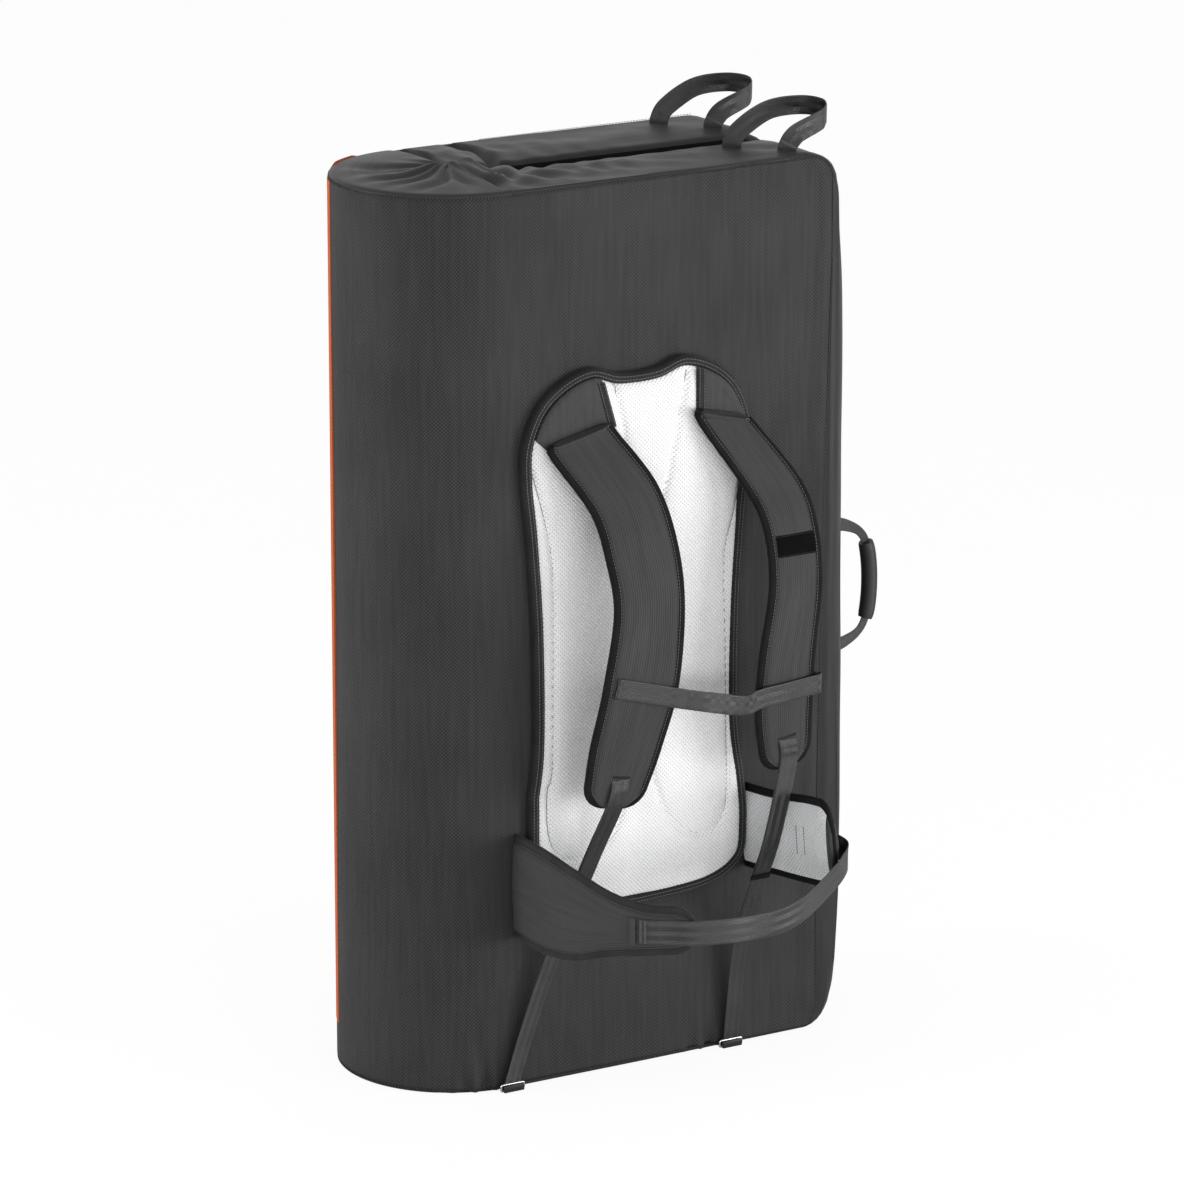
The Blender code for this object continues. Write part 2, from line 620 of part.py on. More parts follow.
def top_loop(name, rear_y, front_y, start_x, surface):
    """Loop of flat webbing that stands up from the top and leans to the open edge."""
    base = HEIGHT + LOOP_PIVOT_CLEARANCE
    front_x = start_x + LOOP_SPAN * TOP_LOOP_SHARES[-1][0]
    rear = (start_x, rear_y, base)
    front = (front_x, front_y, base)
    line = Vector(front) - Vector(rear)
    up = Vector((0.0, 0.0, 1.0))
    across = line.normalized()
    foot = Vector((0.0, 0.0, LOOP_FOOT))
    points = []
    leans = []
    for along, over, rise, forward, down in TOP_LOOP_SHARES:
        height = base + LOOP_FOOT + rise * LOOP_RISE
        points.append((start_x + along * LOOP_SPAN, rear_y + over * (front_y - rear_y), height))
        leans.append(tuple(across * forward - up * down))
    path = smooth_path(points, 4)
    sides = smooth_path(leans, 4)
    path = [rear, tuple(Vector(rear) + foot)] + path[1:-1] + [tuple(Vector(front) + foot), front]
    sides = [sides[0]] * 2 + sides[1:-1] + [sides[-1]] * 2
    pivot = tuple((a + b) / 2 for a, b in zip(rear, front))
    add(name, skin(webbing_band(path, WEBBING_WIDTH, sides)), surface, pivot)


def side_handle(surface, rubber):
    """Webbing handle on the open edge with a soft round grip."""
    edge = OPEN_X + LOOP_PIVOT_CLEARANCE
    y = FACE_Y + HALF_THICKNESS / 2
    half_height = HANDLE_HEIGHT / 2
    shares = HANDLE_SHARES + [(out, -up) for out, up in reversed(HANDLE_SHARES[:-1])]
    path = smooth_path([(edge + out * HANDLE_REACH, y, HANDLE_LEVEL + up * half_height) for out, up in shares], 4)
    across = Vector((0.0, 1.0, 0.0))
    sides = []
    widths = []
    for index, place in enumerate(path):
        sides.append(direction(path, index).cross(across))
        outness = min(1.0, (place[0] - edge) / (HANDLE_REACH * HANDLE_TAPER_SHARE))
        widths.append(WEBBING_WIDTH + (GRIP_RADIUS - WEBBING_WIDTH) * outness)
    sides[0] = Vector((0.0, 0.0, 1.0))
    sides[-1] = -sides[0]
    pivot = (edge, y, HANDLE_LEVEL)
    thin = [WEBBING_THICKNESS] * len(path)
    add("side_handle_webbing", skin(band(path, widths, thin, sides, False, square=False)), surface, pivot)
    inside = [index for index, place in enumerate(path) if abs(place[2] - HANDLE_LEVEL) <= GRIP_LENGTH / 2]
    bm = bmesh.new()
    count = 12
    rings = []
    for index in inside:
        outer = []
        bore = []
        for step in range(count):
            angle = 2 * math.pi * (step + 0.5) / count
            u = math.cos(angle)
            v = math.sin(angle)
            square_u = max(-1.0, min(1.0, u * math.sqrt(2)))
            square_v = max(-1.0, min(1.0, v * math.sqrt(2)))
            centre = Vector(path[index])
            outer.append(centre + sides[index] * u * GRIP_RADIUS + across * v * GRIP_RADIUS)
            bore.append(centre + sides[index] * square_u * (widths[index] / 2 + 2 * CLEARANCE)
                        + across * square_v * (WEBBING_THICKNESS / 2 + CLEARANCE))
        rings.append(([bm.verts.new(point) for point in outer], [bm.verts.new(point) for point in bore]))
    for low, high in zip(rings, rings[1:]):
        for part in range(2):
            for index in range(count):
                after = (index + 1) % count
                bm.faces.new((low[part][index], low[part][after], high[part][after], high[part][index]))
    for outer, bore in (rings[0], rings[-1]):
        for index in range(count):
            after = (index + 1) % count
            bm.faces.new((outer[index], outer[after], bore[after], bore[index]))
    add("side_handle_grip", bm, rubber, pivot)


def cover_zip(tape, metal):
    """Zip down the far half's open end, with its slider at the bottom."""
    x = OPEN_X + CLEARANCE
    y = FOLD_RADIUS - HALF_THICKNESS / 2
    low = (HEIGHT - ZIP_LENGTH) / 2
    add("zip_chain", skin(box((x, y - ZIP_WIDTH / 2, low), (x + ZIP_THICKNESS, y + ZIP_WIDTH / 2, low + ZIP_LENGTH))),
        tape, smooth=False)
    front = x + ZIP_THICKNESS + CLEARANCE
    add("zip_slider", skin(box((front, y - SLIDER_WIDTH / 2, low),
                               (front + SLIDER_THICKNESS, y + SLIDER_WIDTH / 2, low + SLIDER_LENGTH))),
        metal, (front, y, low), smooth=False)


def orange_panel(surface):
    """Outer panel of the far half, set in from its bottom and open edges."""
    outer = FOLD_RADIUS + CLEARANCE + ORANGE_THICKNESS
    low = ORANGE_INSET
    high = HEIGHT - EDGE_RADIUS
    right = OPEN_X - EDGE_RADIUS
    left = FOLD_X + CLEARANCE / 2
    turn = CORNER_RADIUS - EDGE_RADIUS
    points = [(left, low)]
    for centre_z, start in ((low + turn, -90), (high - turn, 0)):
        for step in range(CORNER_STEPS + 1):
            angle = math.radians(start + 90 * step / CORNER_STEPS)
            points.append((right - turn + turn * math.cos(angle), centre_z + turn * math.sin(angle)))
    points.append((left, high))
    add("far_outer_panel", skin([[(x, y, z) for x, z in points] for y in (FOLD_RADIUS + CLEARANCE, outer)]), surface)


def build():
    """Make every piece of the pad."""
    cloth = material("dark_ballistic_cloth", (0.045, 0.045, 0.047), 0.8)
    landing = material("black_landing_cloth", (0.02, 0.02, 0.021), 0.75)
    orange = material("orange_cloth", (0.60, 0.12, 0.03), 0.75)
    foam = material("open_cell_foam", (0.75, 0.72, 0.60), 0.95)
    closed_cell = material("closed_cell_foam", (0.30, 0.31, 0.33), 0.85)
    mesh_cloth = material("white_spacer_mesh", (0.80, 0.80, 0.80), 0.9)
    grey_mesh = material("grey_spacer_mesh", (0.58, 0.60, 0.61), 0.9)
    binding = material("black_binding", (0.03, 0.03, 0.031), 0.8)
    strap_cloth = material("strap_cloth", (0.05, 0.05, 0.052), 0.85)
    webbing = material("dark_webbing", (0.055, 0.055, 0.058), 0.55)
    label = material("woven_label", (0.015, 0.015, 0.016), 0.7)
    metal = material("polished_steel", (0.75, 0.75, 0.76), 0.2, 1.0)
    dark_metal = material("black_coated_steel", (0.02, 0.02, 0.02), 0.35, 0.6)
    rubber = material("soft_black_grip", (0.02, 0.02, 0.02), 0.6)

    far_pivot = hinge_point(FOLD_SLICES)
    half("near", -1, foam, closed_cell, cloth, landing)
    half("far", 1, foam, closed_cell, cloth, landing, far_pivot)
    fold(foam, cloth, orange)
    orange_panel(orange)
    back_panel(mesh_cloth, binding)
    yoke("yoke_left", LEFT_YOKE_SHARES, strap_cloth)
    yoke("yoke_right", RIGHT_YOKE_SHARES, strap_cloth)

    harness_pivot = strap_points(LEFT_STRAP_SHARES)[0][0]
    shoulder_strap("shoulder_strap_left", LEFT_STRAP_SHARES, LEFT_SEAM_TILT, strap_cloth, harness_pivot)
    shoulder_strap("shoulder_strap_right", RIGHT_STRAP_SHARES, RIGHT_SEAM_TILT, strap_cloth, harness_pivot)
    sternum_strap(webbing)
    label_patch(label)
    for side, shares, strap in (("left", LEFT_WEBBING_SHARES, LEFT_STRAP_SHARES),
                                ("right", RIGHT_WEBBING_SHARES, RIGHT_STRAP_SHARES)):
        end = lower_webbing("lower_webbing_" + side, shares, strap, webbing)
        buckle(side, end, metal, dark_metal)

    wing("left", LEFT_WING_SHARES, LEFT_WING_LEVEL, LEFT_WING_HEIGHT, 1, strap_cloth, grey_mesh)
    wing("right", RIGHT_WING_SHARES, RIGHT_WING_LEVEL, RIGHT_WING_HEIGHT, -1, strap_cloth, grey_mesh)
    belt(webbing, dark_metal)

    near_front = FACE_Y + HALF_THICKNESS * NEAR_LOOP_SHARE
    top_loop("top_loop_near", near_front + LOOP_LEG_GAP, near_front, LOOP_START, webbing)
    far_front = FOLD_RADIUS - HALF_THICKNESS * FAR_LOOP_SHARE
    top_loop("top_loop_far", far_front + LOOP_LEG_GAP, far_front, LOOP_START, webbing)
    side_handle(webbing, rubber)
    cover_zip(binding, dark_metal)

    stand = bpy.data.objects.new("middle_of_the_fold", None)
    stand.location.y = FOLD_RADIUS - HALF_THICKNESS / 2
    bpy.context.collection.objects.link(stand)
    for made in list(bpy.data.objects):
        if made is not stand:
            made.parent = stand


for leftover in list(bpy.data.objects):
    bpy.data.objects.remove(leftover)
build()
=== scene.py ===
import math

import bmesh
import bpy
import numpy as np
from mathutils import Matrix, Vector, noise


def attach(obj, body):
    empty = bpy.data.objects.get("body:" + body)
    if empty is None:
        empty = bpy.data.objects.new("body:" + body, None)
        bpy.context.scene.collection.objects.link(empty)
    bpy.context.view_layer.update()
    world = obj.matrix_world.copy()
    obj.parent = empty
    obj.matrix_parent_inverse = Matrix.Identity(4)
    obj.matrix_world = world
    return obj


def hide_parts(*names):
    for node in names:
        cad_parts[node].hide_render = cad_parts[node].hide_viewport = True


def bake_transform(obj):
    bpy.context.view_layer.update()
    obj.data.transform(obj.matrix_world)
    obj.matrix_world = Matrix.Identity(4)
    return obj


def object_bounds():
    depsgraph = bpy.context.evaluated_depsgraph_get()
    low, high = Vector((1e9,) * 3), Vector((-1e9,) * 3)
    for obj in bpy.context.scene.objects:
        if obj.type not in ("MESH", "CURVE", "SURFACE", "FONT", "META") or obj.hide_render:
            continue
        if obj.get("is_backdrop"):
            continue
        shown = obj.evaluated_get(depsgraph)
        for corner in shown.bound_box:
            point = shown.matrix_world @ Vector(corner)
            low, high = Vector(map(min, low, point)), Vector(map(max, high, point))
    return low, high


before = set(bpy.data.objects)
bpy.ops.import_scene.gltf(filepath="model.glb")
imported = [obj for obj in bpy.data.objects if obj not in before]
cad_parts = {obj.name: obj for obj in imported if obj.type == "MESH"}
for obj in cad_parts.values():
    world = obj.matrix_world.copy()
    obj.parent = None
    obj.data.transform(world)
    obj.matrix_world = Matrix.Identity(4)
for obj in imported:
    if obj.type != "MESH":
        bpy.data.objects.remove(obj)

cad_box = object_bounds()
scene = bpy.context.scene

# Camera
# A long lens about eight metres away, a little above the pad's middle and to the left of its
# harness, as the photograph was taken.
AIM = Vector((0.0354, 0.085, 0.5931))
AZIMUTH, ELEVATION, DISTANCE = math.radians(-31.17), math.radians(15.54), 8.3655
back = Vector((math.sin(AZIMUTH) * math.cos(ELEVATION), -math.cos(AZIMUTH) * math.cos(ELEVATION),
               math.sin(ELEVATION)))
lens = bpy.data.cameras.new("studio_camera")
lens.lens, lens.sensor_width = 197.3, 36.0


def linked(name, data):
    """A new object at the origin, in the scene."""
    made = bpy.data.objects.new(name, data)
    scene.collection.objects.link(made)
    return made


camera = linked("studio_camera", lens)
camera.location = AIM + back * DISTANCE
camera.rotation_mode = "QUATERNION"
camera.rotation_quaternion = (-back).to_track_quat("-Z", "Y")
scene.camera = camera
scene.view_settings.view_transform = "Standard"


# Studio
# A plain white sweep: the backdrop and floor read as white, the floor keeps a soft shadow, and
# soft boxes light the cloth from the left, the right front, near the lens and, weakly, above.
def linear(code, alpha=1.0):
    """A hex colour as Blender's linear numbers."""
    values = [int(code[start:start + 2], 16) / 255 for start in (1, 3, 5)]
    return (*[v / 12.92 if v <= 0.04045 else ((v + 0.055) / 1.055) ** 2.4 for v in values], alpha)


def set_inputs(tree, made, inputs):
    """A node's values and links; a node given as a value stands for its first output."""
    for key, value in inputs.items():
        value = value.outputs[0] if isinstance(value, bpy.types.Node) else value
        if isinstance(value, bpy.types.NodeSocket):
            tree.links.new(value, made.inputs[key])
        else:
            made.inputs[key].default_value = value


def add_node(tree, kind, inputs=None, **settings):
    """One node with its settings, its values and its links."""
    made = tree.nodes.new(kind)
    for name, value in settings.items():
        setattr(made, name, value)
    set_inputs(tree, made, inputs or {})
    return made


world = bpy.data.worlds.new("studio_white")
world.use_nodes = True
scene.world = world
tree = world.node_tree
tree.nodes.clear()
path = add_node(tree, "ShaderNodeLightPath")
seen = add_node(tree, "ShaderNodeMath", {0: path.outputs["Is Camera Ray"], 1: path.outputs["Is Glossy Ray"]},
                operation="MAXIMUM")
seen = add_node(tree, "ShaderNodeMath", {0: seen, 1: path.outputs["Is Transmission Ray"]},
                operation="MAXIMUM")
ambient = add_node(tree, "ShaderNodeBackground", {"Color": linear("#ffffff"), "Strength": 0.5})
white = add_node(tree, "ShaderNodeBackground", {"Color": linear("#ffffff"), "Strength": 1.0})
mixed = add_node(tree, "ShaderNodeMixShader", {0: seen, 1: ambient, 2: white})
add_node(tree, "ShaderNodeOutputWorld", {"Surface": mixed})

floor_paint = bpy.data.materials.new("white_studio_floor")
floor_paint.use_nodes = True
tree = floor_paint.node_tree
tree.nodes.clear()
path = add_node(tree, "ShaderNodeLightPath")
coordinates = add_node(tree, "ShaderNodeTexCoord")
grain = add_node(tree, "ShaderNodeTexNoise", {"Vector": coordinates.outputs["Object"], "Scale": 3.0,
                                              "Detail": 2.0})
tint = add_node(tree, "ShaderNodeMix", {0: grain.outputs["Fac"], 6: linear("#fbfbfb"), 7: linear("#f6f6f6")},
                data_type="RGBA")
diffuse = add_node(tree, "ShaderNodeBsdfDiffuse", {"Color": tint.outputs[2]})
glow = add_node(tree, "ShaderNodeEmission", {"Color": linear("#ffffff"), "Strength": 1.06})
share = add_node(tree, "ShaderNodeMath", {0: path.outputs["Is Camera Ray"], 1: 0.86}, operation="MULTIPLY")
mixed = add_node(tree, "ShaderNodeMixShader", {0: share, 1: diffuse, 2: glow})
add_node(tree, "ShaderNodeOutputMaterial", {"Surface": mixed})
floor_mesh = bpy.data.meshes.new("studio_floor")
floor_mesh.from_pydata([(-9, -9, 0), (9, -9, 0), (9, 9, 0), (-9, 9, 0)], [], [(0, 1, 2, 3)])
floor_mesh.materials.append(floor_paint)
linked("studio_floor", floor_mesh)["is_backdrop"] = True

for name, place, wide, tall, power in (("left_box", (-3.6, 1.4, 0.7), 1.6, 1.4, 62),
                                       ("right_box", (2.1, -2.6, 0.6), 1.6, 1.1, 52),
                                       ("front_box", (-0.9, -4.3, 0.7), 4.6, 1.2, 78),
                                       ("top_box", (0.2, 0.4, 4.2), 2.4, 2.4, 3)):
    lamp = bpy.data.lights.new(name, "AREA")
    lamp.shape, lamp.size, lamp.size_y, lamp.energy = "RECTANGLE", wide, tall, power
    holder = linked(name, lamp)
    holder.location = place
    holder.rotation_mode = "QUATERNION"
    holder.rotation_quaternion = (AIM - Vector(place)).to_track_quat("-Z", "Y")


# Pad
# One slab of foam about 130 mm thick, bent in half and standing on its end, inside a sewn cover:
# ballistic nylon on the outside, a plain cloth gusset round the edges, which bunches up where it
# goes round the bend, and a black coated cloth on the landing side.
HEIGHT, OPEN_X, FOLD_X, FOLD_Y = 1.17, 0.325, -0.175, 0.085
OUTER, INNER = 0.15, 0.02
DEPTH = OUTER - INNER
ROUND_CORNER, ARRIS, INNER_ARRIS = 0.06, 0.005, 0.009
SEAM_X, SEAM_CORNER = 0.303, 0.030
CHUNK = INNER * math.sin(math.radians(22.5))
# Where the vertical seam of the face runs, from the bottom up
SEAM = [(0.0, 0.285), (0.036, 0.288), (0.20, 0.287), (0.37, 0.288), (0.58, 0.291), (0.72, 0.294),
        (0.90, 0.299), (1.04, 0.303), (1.17, 0.303)]
# Where the gusset turns from the face to the open end
BROW = [(0.0, 0.296), (0.03, 0.299), (0.10, 0.312), (0.20, 0.316), (0.31, 0.312), (0.45, 0.307),
        (0.60, 0.304), (0.78, 0.303), (0.94, 0.303), (1.17, 0.303)]


def new_material(name):
    """An empty material and its tree."""
    made = bpy.data.materials.new(name)
    made.use_nodes = True
    return made, made.node_tree


def finish_material(made, tone, dark, light, rough, relief, values):
    """Colour and roughness that follow a tone, relief that follows a height, and the shader's values."""
    tree, (middle, spread), (height, strength, distance) = made.node_tree, rough, relief
    colour = add_node(tree, "ShaderNodeMix", {0: tone, 6: linear(dark), 7: linear(light)}, data_type="RGBA")
    shine = add_node(tree, "ShaderNodeMapRange", {0: tone, 3: middle + spread, 4: middle - spread})
    bump = add_node(tree, "ShaderNodeBump", {"Height": height, "Strength": strength, "Distance": distance})
    set_inputs(tree, tree.nodes["Principled BSDF"],
               {"Base Color": colour.outputs[2], "Roughness": shine, "Normal": bump, **values})
    return made


def ribs(tree, source, pitch, shape="SINE"):
    """A wave along a source, one crest to each pitch."""
    turns = add_node(tree, "ShaderNodeMath", {0: source, 1: 2 * math.pi / pitch}, operation="MULTIPLY")
    return add_node(tree, "ShaderNodeMath", {0: turns}, operation=shape)


def clouds(tree, place, scale, detail, low=0.0, high=1.0, **more):
    """Soft noise spread from low to high."""
    grain = add_node(tree, "ShaderNodeTexNoise", {"Vector": place, "Scale": scale, "Detail": detail, **more})
    return add_node(tree, "ShaderNodeMapRange", {0: grain, 1: 0.3, 2: 0.7, 3: low, 4: high})


def cloth_material(name, dark, light, pitch, roughness, sheen, bump, streak=0.35, twill=0.0):
    """Woven cloth that reads its UV map in metres: a basket or twill weave, slubs and slow fading."""
    made, tree = new_material(name)
    uv = add_node(tree, "ShaderNodeUVMap", uv_map="cloth")
    split = add_node(tree, "ShaderNodeSeparateXYZ", {0: uv})
    lean = add_node(tree, "ShaderNodeMath", {0: split.outputs[1], 1: twill, 2: split},
                    operation="MULTIPLY_ADD")
    across, along = ribs(tree, lean, pitch), ribs(tree, split.outputs[1], pitch)
    weave = add_node(tree, "ShaderNodeMath", {0: across, 1: along}, operation="MULTIPLY")
    weave = add_node(tree, "ShaderNodeMapRange", {0: weave, 1: -0.8, 2: 0.8})
    stretch = add_node(tree, "ShaderNodeMapping", {0: uv, 3: (160.0, 9.0, 1.0)})
    slub = clouds(tree, stretch, 1.0, 3.0, -0.5, 0.5)
    fade = clouds(tree, uv, 5.0, 2.0, -0.5, 0.5, Roughness=0.6)
    tone = add_node(tree, "ShaderNodeMath", {0: slub, 1: streak, 2: weave}, operation="MULTIPLY_ADD")
    tone = add_node(tree, "ShaderNodeMath", {0: fade, 1: 0.35, 2: tone}, operation="MULTIPLY_ADD",
                    use_clamp=True)
    return finish_material(made, tone, dark, light, (roughness, 0.06), (weave, bump, 0.0006),
                           {"Sheen Weight": sheen, "Sheen Roughness": 0.45, "Specular IOR Level": 0.14})


# Ballistic nylon, basket weave; the cells are drawn at 2.4 mm, coarser than life, so that they show
ballistic = cloth_material("ballistic_nylon", "#252526", "#3b3b3c", 0.0048, 0.6, sheen=0.03, bump=0.5)
# Plain coated polyester of the gusset, a shade lighter, with a tight weave
gusset = cloth_material("coated_polyester_gusset", "#262627", "#373738", 0.0030, 0.45, sheen=0.04, bump=0.2,
                        streak=0.45)
# Black coated landing cloth
landing = cloth_material("black_landing_cloth", "#141415", "#1d1d1e", 0.0032, 0.7, sheen=0.1, bump=0.3)


def table(rows, place):
    """Reads a value between the rows of a table."""
    return float(np.interp(place, [row[0] for row in rows], [row[1] for row in rows]))


def clamp(value, low=0.0):
    """A value kept between low and one."""
    return min(1.0, max(low, value))


def hump(distance, width):
    """A smooth hump: one at its middle, almost nothing two widths away."""
    return math.exp(-(distance / width) ** 2)


def outline(right, low, high, radius, wavy=None):
    """Bottom row, right column and top row of a half, as functions of a share from 0 to 1."""
    reach = right - radius - FOLD_X
    quarter, straight = math.pi / 2 * radius, high - low - 2 * radius

    def column(v):
        walk = v * (straight + 2 * quarter)
        if quarter <= walk < quarter + straight:
            x, z = right, low + radius + walk - quarter
        else:
            lower = walk < quarter
            angle = walk / radius - math.pi / 2 if lower else (walk - quarter - straight) / radius
            x = right - radius + radius * math.cos(angle)
            z = (low + radius if lower else high - radius) + radius * math.sin(angle)
        if wavy:
            x += (table(wavy, z) - right) * clamp((x - right + radius) / radius)
        return (x, z)

    return (lambda u: (FOLD_X + u * reach, low)), column, (lambda u: (FOLD_X + u * reach, high))


SIDES = 78
LEVELS = 120
first = CHUNK / (OPEN_X - ROUND_CORNER - FOLD_X)
spread = [0.0, first / 2, first] + list(np.linspace(first, 1.0, SIDES)[1:])
spread = spread[:-2] + [1 - 0.012, 1 - 0.005, 1.0]
rise = [0.0, 0.0022, 0.006, 0.013] + list(np.linspace(0.022, 0.978, LEVELS)) + [0.987, 0.994, 0.9978, 1.0]
profile = [(1 - math.cos(a), math.sin(a)) for a in np.radians([22, 45, 68, 90])]
flat_steps = list(np.linspace(0.0, 1.0, 15)[1:-1])
brow = outline(SEAM_X, ARRIS, HEIGHT - ARRIS, SEAM_CORNER, BROW)
seams = {-1: outline(SEAM_X, ARRIS, HEIGHT - ARRIS, SEAM_CORNER, SEAM), 1: brow}


def walk_round(lines):
    """The points of an outline: out along the bottom, up the column and back along the top."""
    bottom, column, top = lines
    return [bottom(u) for u in spread] + [column(v) for v in rise[1:-1]] + [top(u) for u in reversed(spread)]


def half_parts(side):
    """Grids of points for one half: face, wall and landing."""
    outer = outline(OPEN_X, 0.0, HEIGHT, ROUND_CORNER)
    inner = outline(OPEN_X - INNER_ARRIS, INNER_ARRIS, HEIGHT - INNER_ARRIS, ROUND_CORNER - INNER_ARRIS)

    def patch(lines, depth):
        bottom, column, top = lines
        low, high = bottom(0)[1], top(0)[1]
        y = FOLD_Y + side * (OUTER - depth)
        return [[((1 - u) * FOLD_X + u * column(v)[0], y,
                  (1 - u) * (low + (high - low) * v) + u * column(v)[1])
                 for v in rise] for u in spread]

    wall = []
    for (sx, sz), (bx, bz), (ox, oz), (ix, iz) in zip(*map(walk_round, (seams[side], brow, outer, inner))):
        reach = max(0.006, math.hypot(ox - bx, oz - bz))
        line = [(sx + (bx - sx) * t, 0.0, sz + (bz - sz) * t) for t in (0.0, 0.3, 0.65, 1.0)]
        line += [(bx + (ox - bx) * f, reach * d, bz + (oz - bz) * f) for d, f in profile]
        line += [(ox, reach + (DEPTH - INNER_ARRIS - reach) * t, oz) for t in flat_steps]
        line += [(ix + (ox - ix) * f, DEPTH - INNER_ARRIS * d, iz + (oz - iz) * f)
                 for d, f in reversed(profile)]
        wall.append([(x, FOLD_Y + side * (OUTER - depth), z) for x, depth, z in line + [(ix, DEPTH, iz)]])
    return patch(seams[side], 0.0), wall, patch(inner, DEPTH)


# The whole cover is made as one skin, so that its shading runs on over the joins, then it is cut
# into the near half, five stretches round the bend and the far half.
places, index_of, quads, uvs, owners, cloths = [], {}, [], [], [], []


def key_of(point):
    """Points that meet share one key."""
    return tuple(round(value, 6) for value in point)


def corner(point):
    """The number of a point in the skin."""
    if key_of(point) not in index_of:
        index_of[key_of(point)] = len(places)
        places.append(point)
    return index_of[key_of(point)]


def lay(grid, owner_of, cloth, flip, place_uv):
    """Adds a grid of points to the skin."""
    for a in range(len(grid) - 1):
        for b in range(len(grid[a]) - 1):
            ring = [(a, b), (a + 1, b), (a + 1, b + 1), (a, b + 1)]
            if flip:
                ring.reverse()
            ids = [corner(grid[i][j]) for i, j in ring]
            if len(set(ids)) < 3:
                continue
            quads.append(ids)
            uvs.append([place_uv(i, j) for i, j in ring])
            owners.append(owner_of(a))
            cloths.append(cloth)


def depth_walk(column):
    """Distances along one line of points."""
    steps = [0.0]
    for one, two in zip(column, column[1:]):
        steps.append(steps[-1] + (Vector(two) - Vector(one)).length)
    return steps


def section_ids(*lines):
    """The skin's points round one section of the pad."""
    ids = []
    for line in lines:
        ids += [corner(point) for point in line]
    return [one for one, two in zip(ids, ids[1:] + ids[:1]) if one != two]


# Landing cloth and gusset have stretches of the weave of their own
LANDING_SHIFT, GUSSET_SHIFT = 0.7, 2
cut_lines = {}
for side, owner, bend in ((-1, 0, 1), (1, 6, 5)):
    face, wall, inside = half_parts(side)
    count = len(wall)
    lengths, depths = depth_walk([line[10] for line in wall]), [depth_walk(line) for line in wall]
    lay(face, lambda a: bend if a < 2 else owner, 0, side > 0,
        lambda i, j: (-side * (face[i][j][0] - FOLD_X), face[i][j][2]))
    lay(inside, lambda a: bend if a < 2 else owner, 2, side < 0,
        lambda i, j: (-side * (inside[i][j][0] - FOLD_X) + LANDING_SHIFT, inside[i][j][2]))
    lay(wall, lambda a: bend if a < 2 or a >= count - 3 else owner, 1, side < 0,
        lambda i, j: (depths[i][j] + GUSSET_SHIFT, lengths[i]))
    cut_lines[0 if side < 0 else 5] = (face[2], wall[count - 3], inside[2][::-1], wall[2][::-1])

STEPS, EDGE_ROUND = 96, 0.006
top = [(EDGE_ROUND * d, HEIGHT - ARRIS + ARRIS * f) for d, f in profile]
top += [(EDGE_ROUND + (DEPTH - INNER_ARRIS - EDGE_ROUND) * t, HEIGHT) for t in flat_steps]
top += [(DEPTH - INNER_ARRIS * d, HEIGHT - INNER_ARRIS * (1 - f)) for d, f in reversed(profile)]
ring = [(0.0, ARRIS + (HEIGHT - 2 * ARRIS) * v) for v in rise] + top
ring += [(DEPTH, INNER_ARRIS + (HEIGHT - 2 * INNER_ARRIS) * v) for v in reversed(rise)]
ring += [(depth, HEIGHT - z) for depth, z in reversed(top)]
ring.append(ring[0])
fold_rings = []
for angle in (math.radians(270 - 180 * step / STEPS) for step in range(STEPS + 1)):
    fold_rings.append([(FOLD_X + (OUTER - depth) * math.cos(angle),
                        FOLD_Y + (OUTER - depth) * math.sin(angle), z)
                       for depth, z in ring])
bend_owner = (lambda a: 1 + int((a + 12) / 24) if a < 84 else 5)
spans = [0, len(rise) - 1, len(rise) + len(top), 2 * len(rise) - 1 + len(top), len(fold_rings[0]) - 1]
for cloth, (start, stop) in zip((0, 1, 2, 1), zip(spans, spans[1:])):
    grid = [ring[start:stop + 1] for ring in fold_rings]
    stride = -math.pi / STEPS * {0: OUTER, 1: OUTER - DEPTH / 2, 2: INNER}[cloth]
    heights = depth_walk(grid[0])
    if cloth == 1:
        lay(grid, bend_owner, cloth, True, lambda i, j: (GUSSET_SHIFT + heights[j], stride * i))
    else:
        shift = LANDING_SHIFT if cloth == 2 else 0
        lay(grid, bend_owner, cloth, True, lambda i, j: (stride * i + shift, grid[0][j][2]))

for number, step in enumerate((12, 36, 60, 84)):
    cut_lines[number + 1] = (fold_rings[step][:-1],)
sections = {number: section_ids(*lines) for number, lines in cut_lines.items()}

sewn = np.array(places)
pushed = sewn.copy()
# Deep tucks of the gusset over the bend: turn from the near side in degrees, width, depth
TUCKS = [(22, 5, 0.005), (39, 5, 0.007), (57, 6, 0.006), (76, 7, 0.006), (100, 9, 0.006), (128, 9, 0.005)]
# Two sharp folds right across the far half's top: place along the pad, depth
CROSS_FOLDS = [(-0.168, 0.016), (-0.094, 0.017)]
# Gathers where the buckles' tabs are sewn on: place, reach
GATHERS = [(-0.215, 0.028), (0.118, 0.030)]


def bulge(x, depth, z):
    """How far the foam pushes the near half's open-end edge outwards."""
    share = clamp((x - 0.300) / 0.024) ** 2
    ends = clamp((min(z, HEIGHT - z) - 0.04) / 0.16)
    return 0.0068 * share * math.sin(ends * math.pi / 2) ** 2 * hump(depth - 0.018, 0.020)


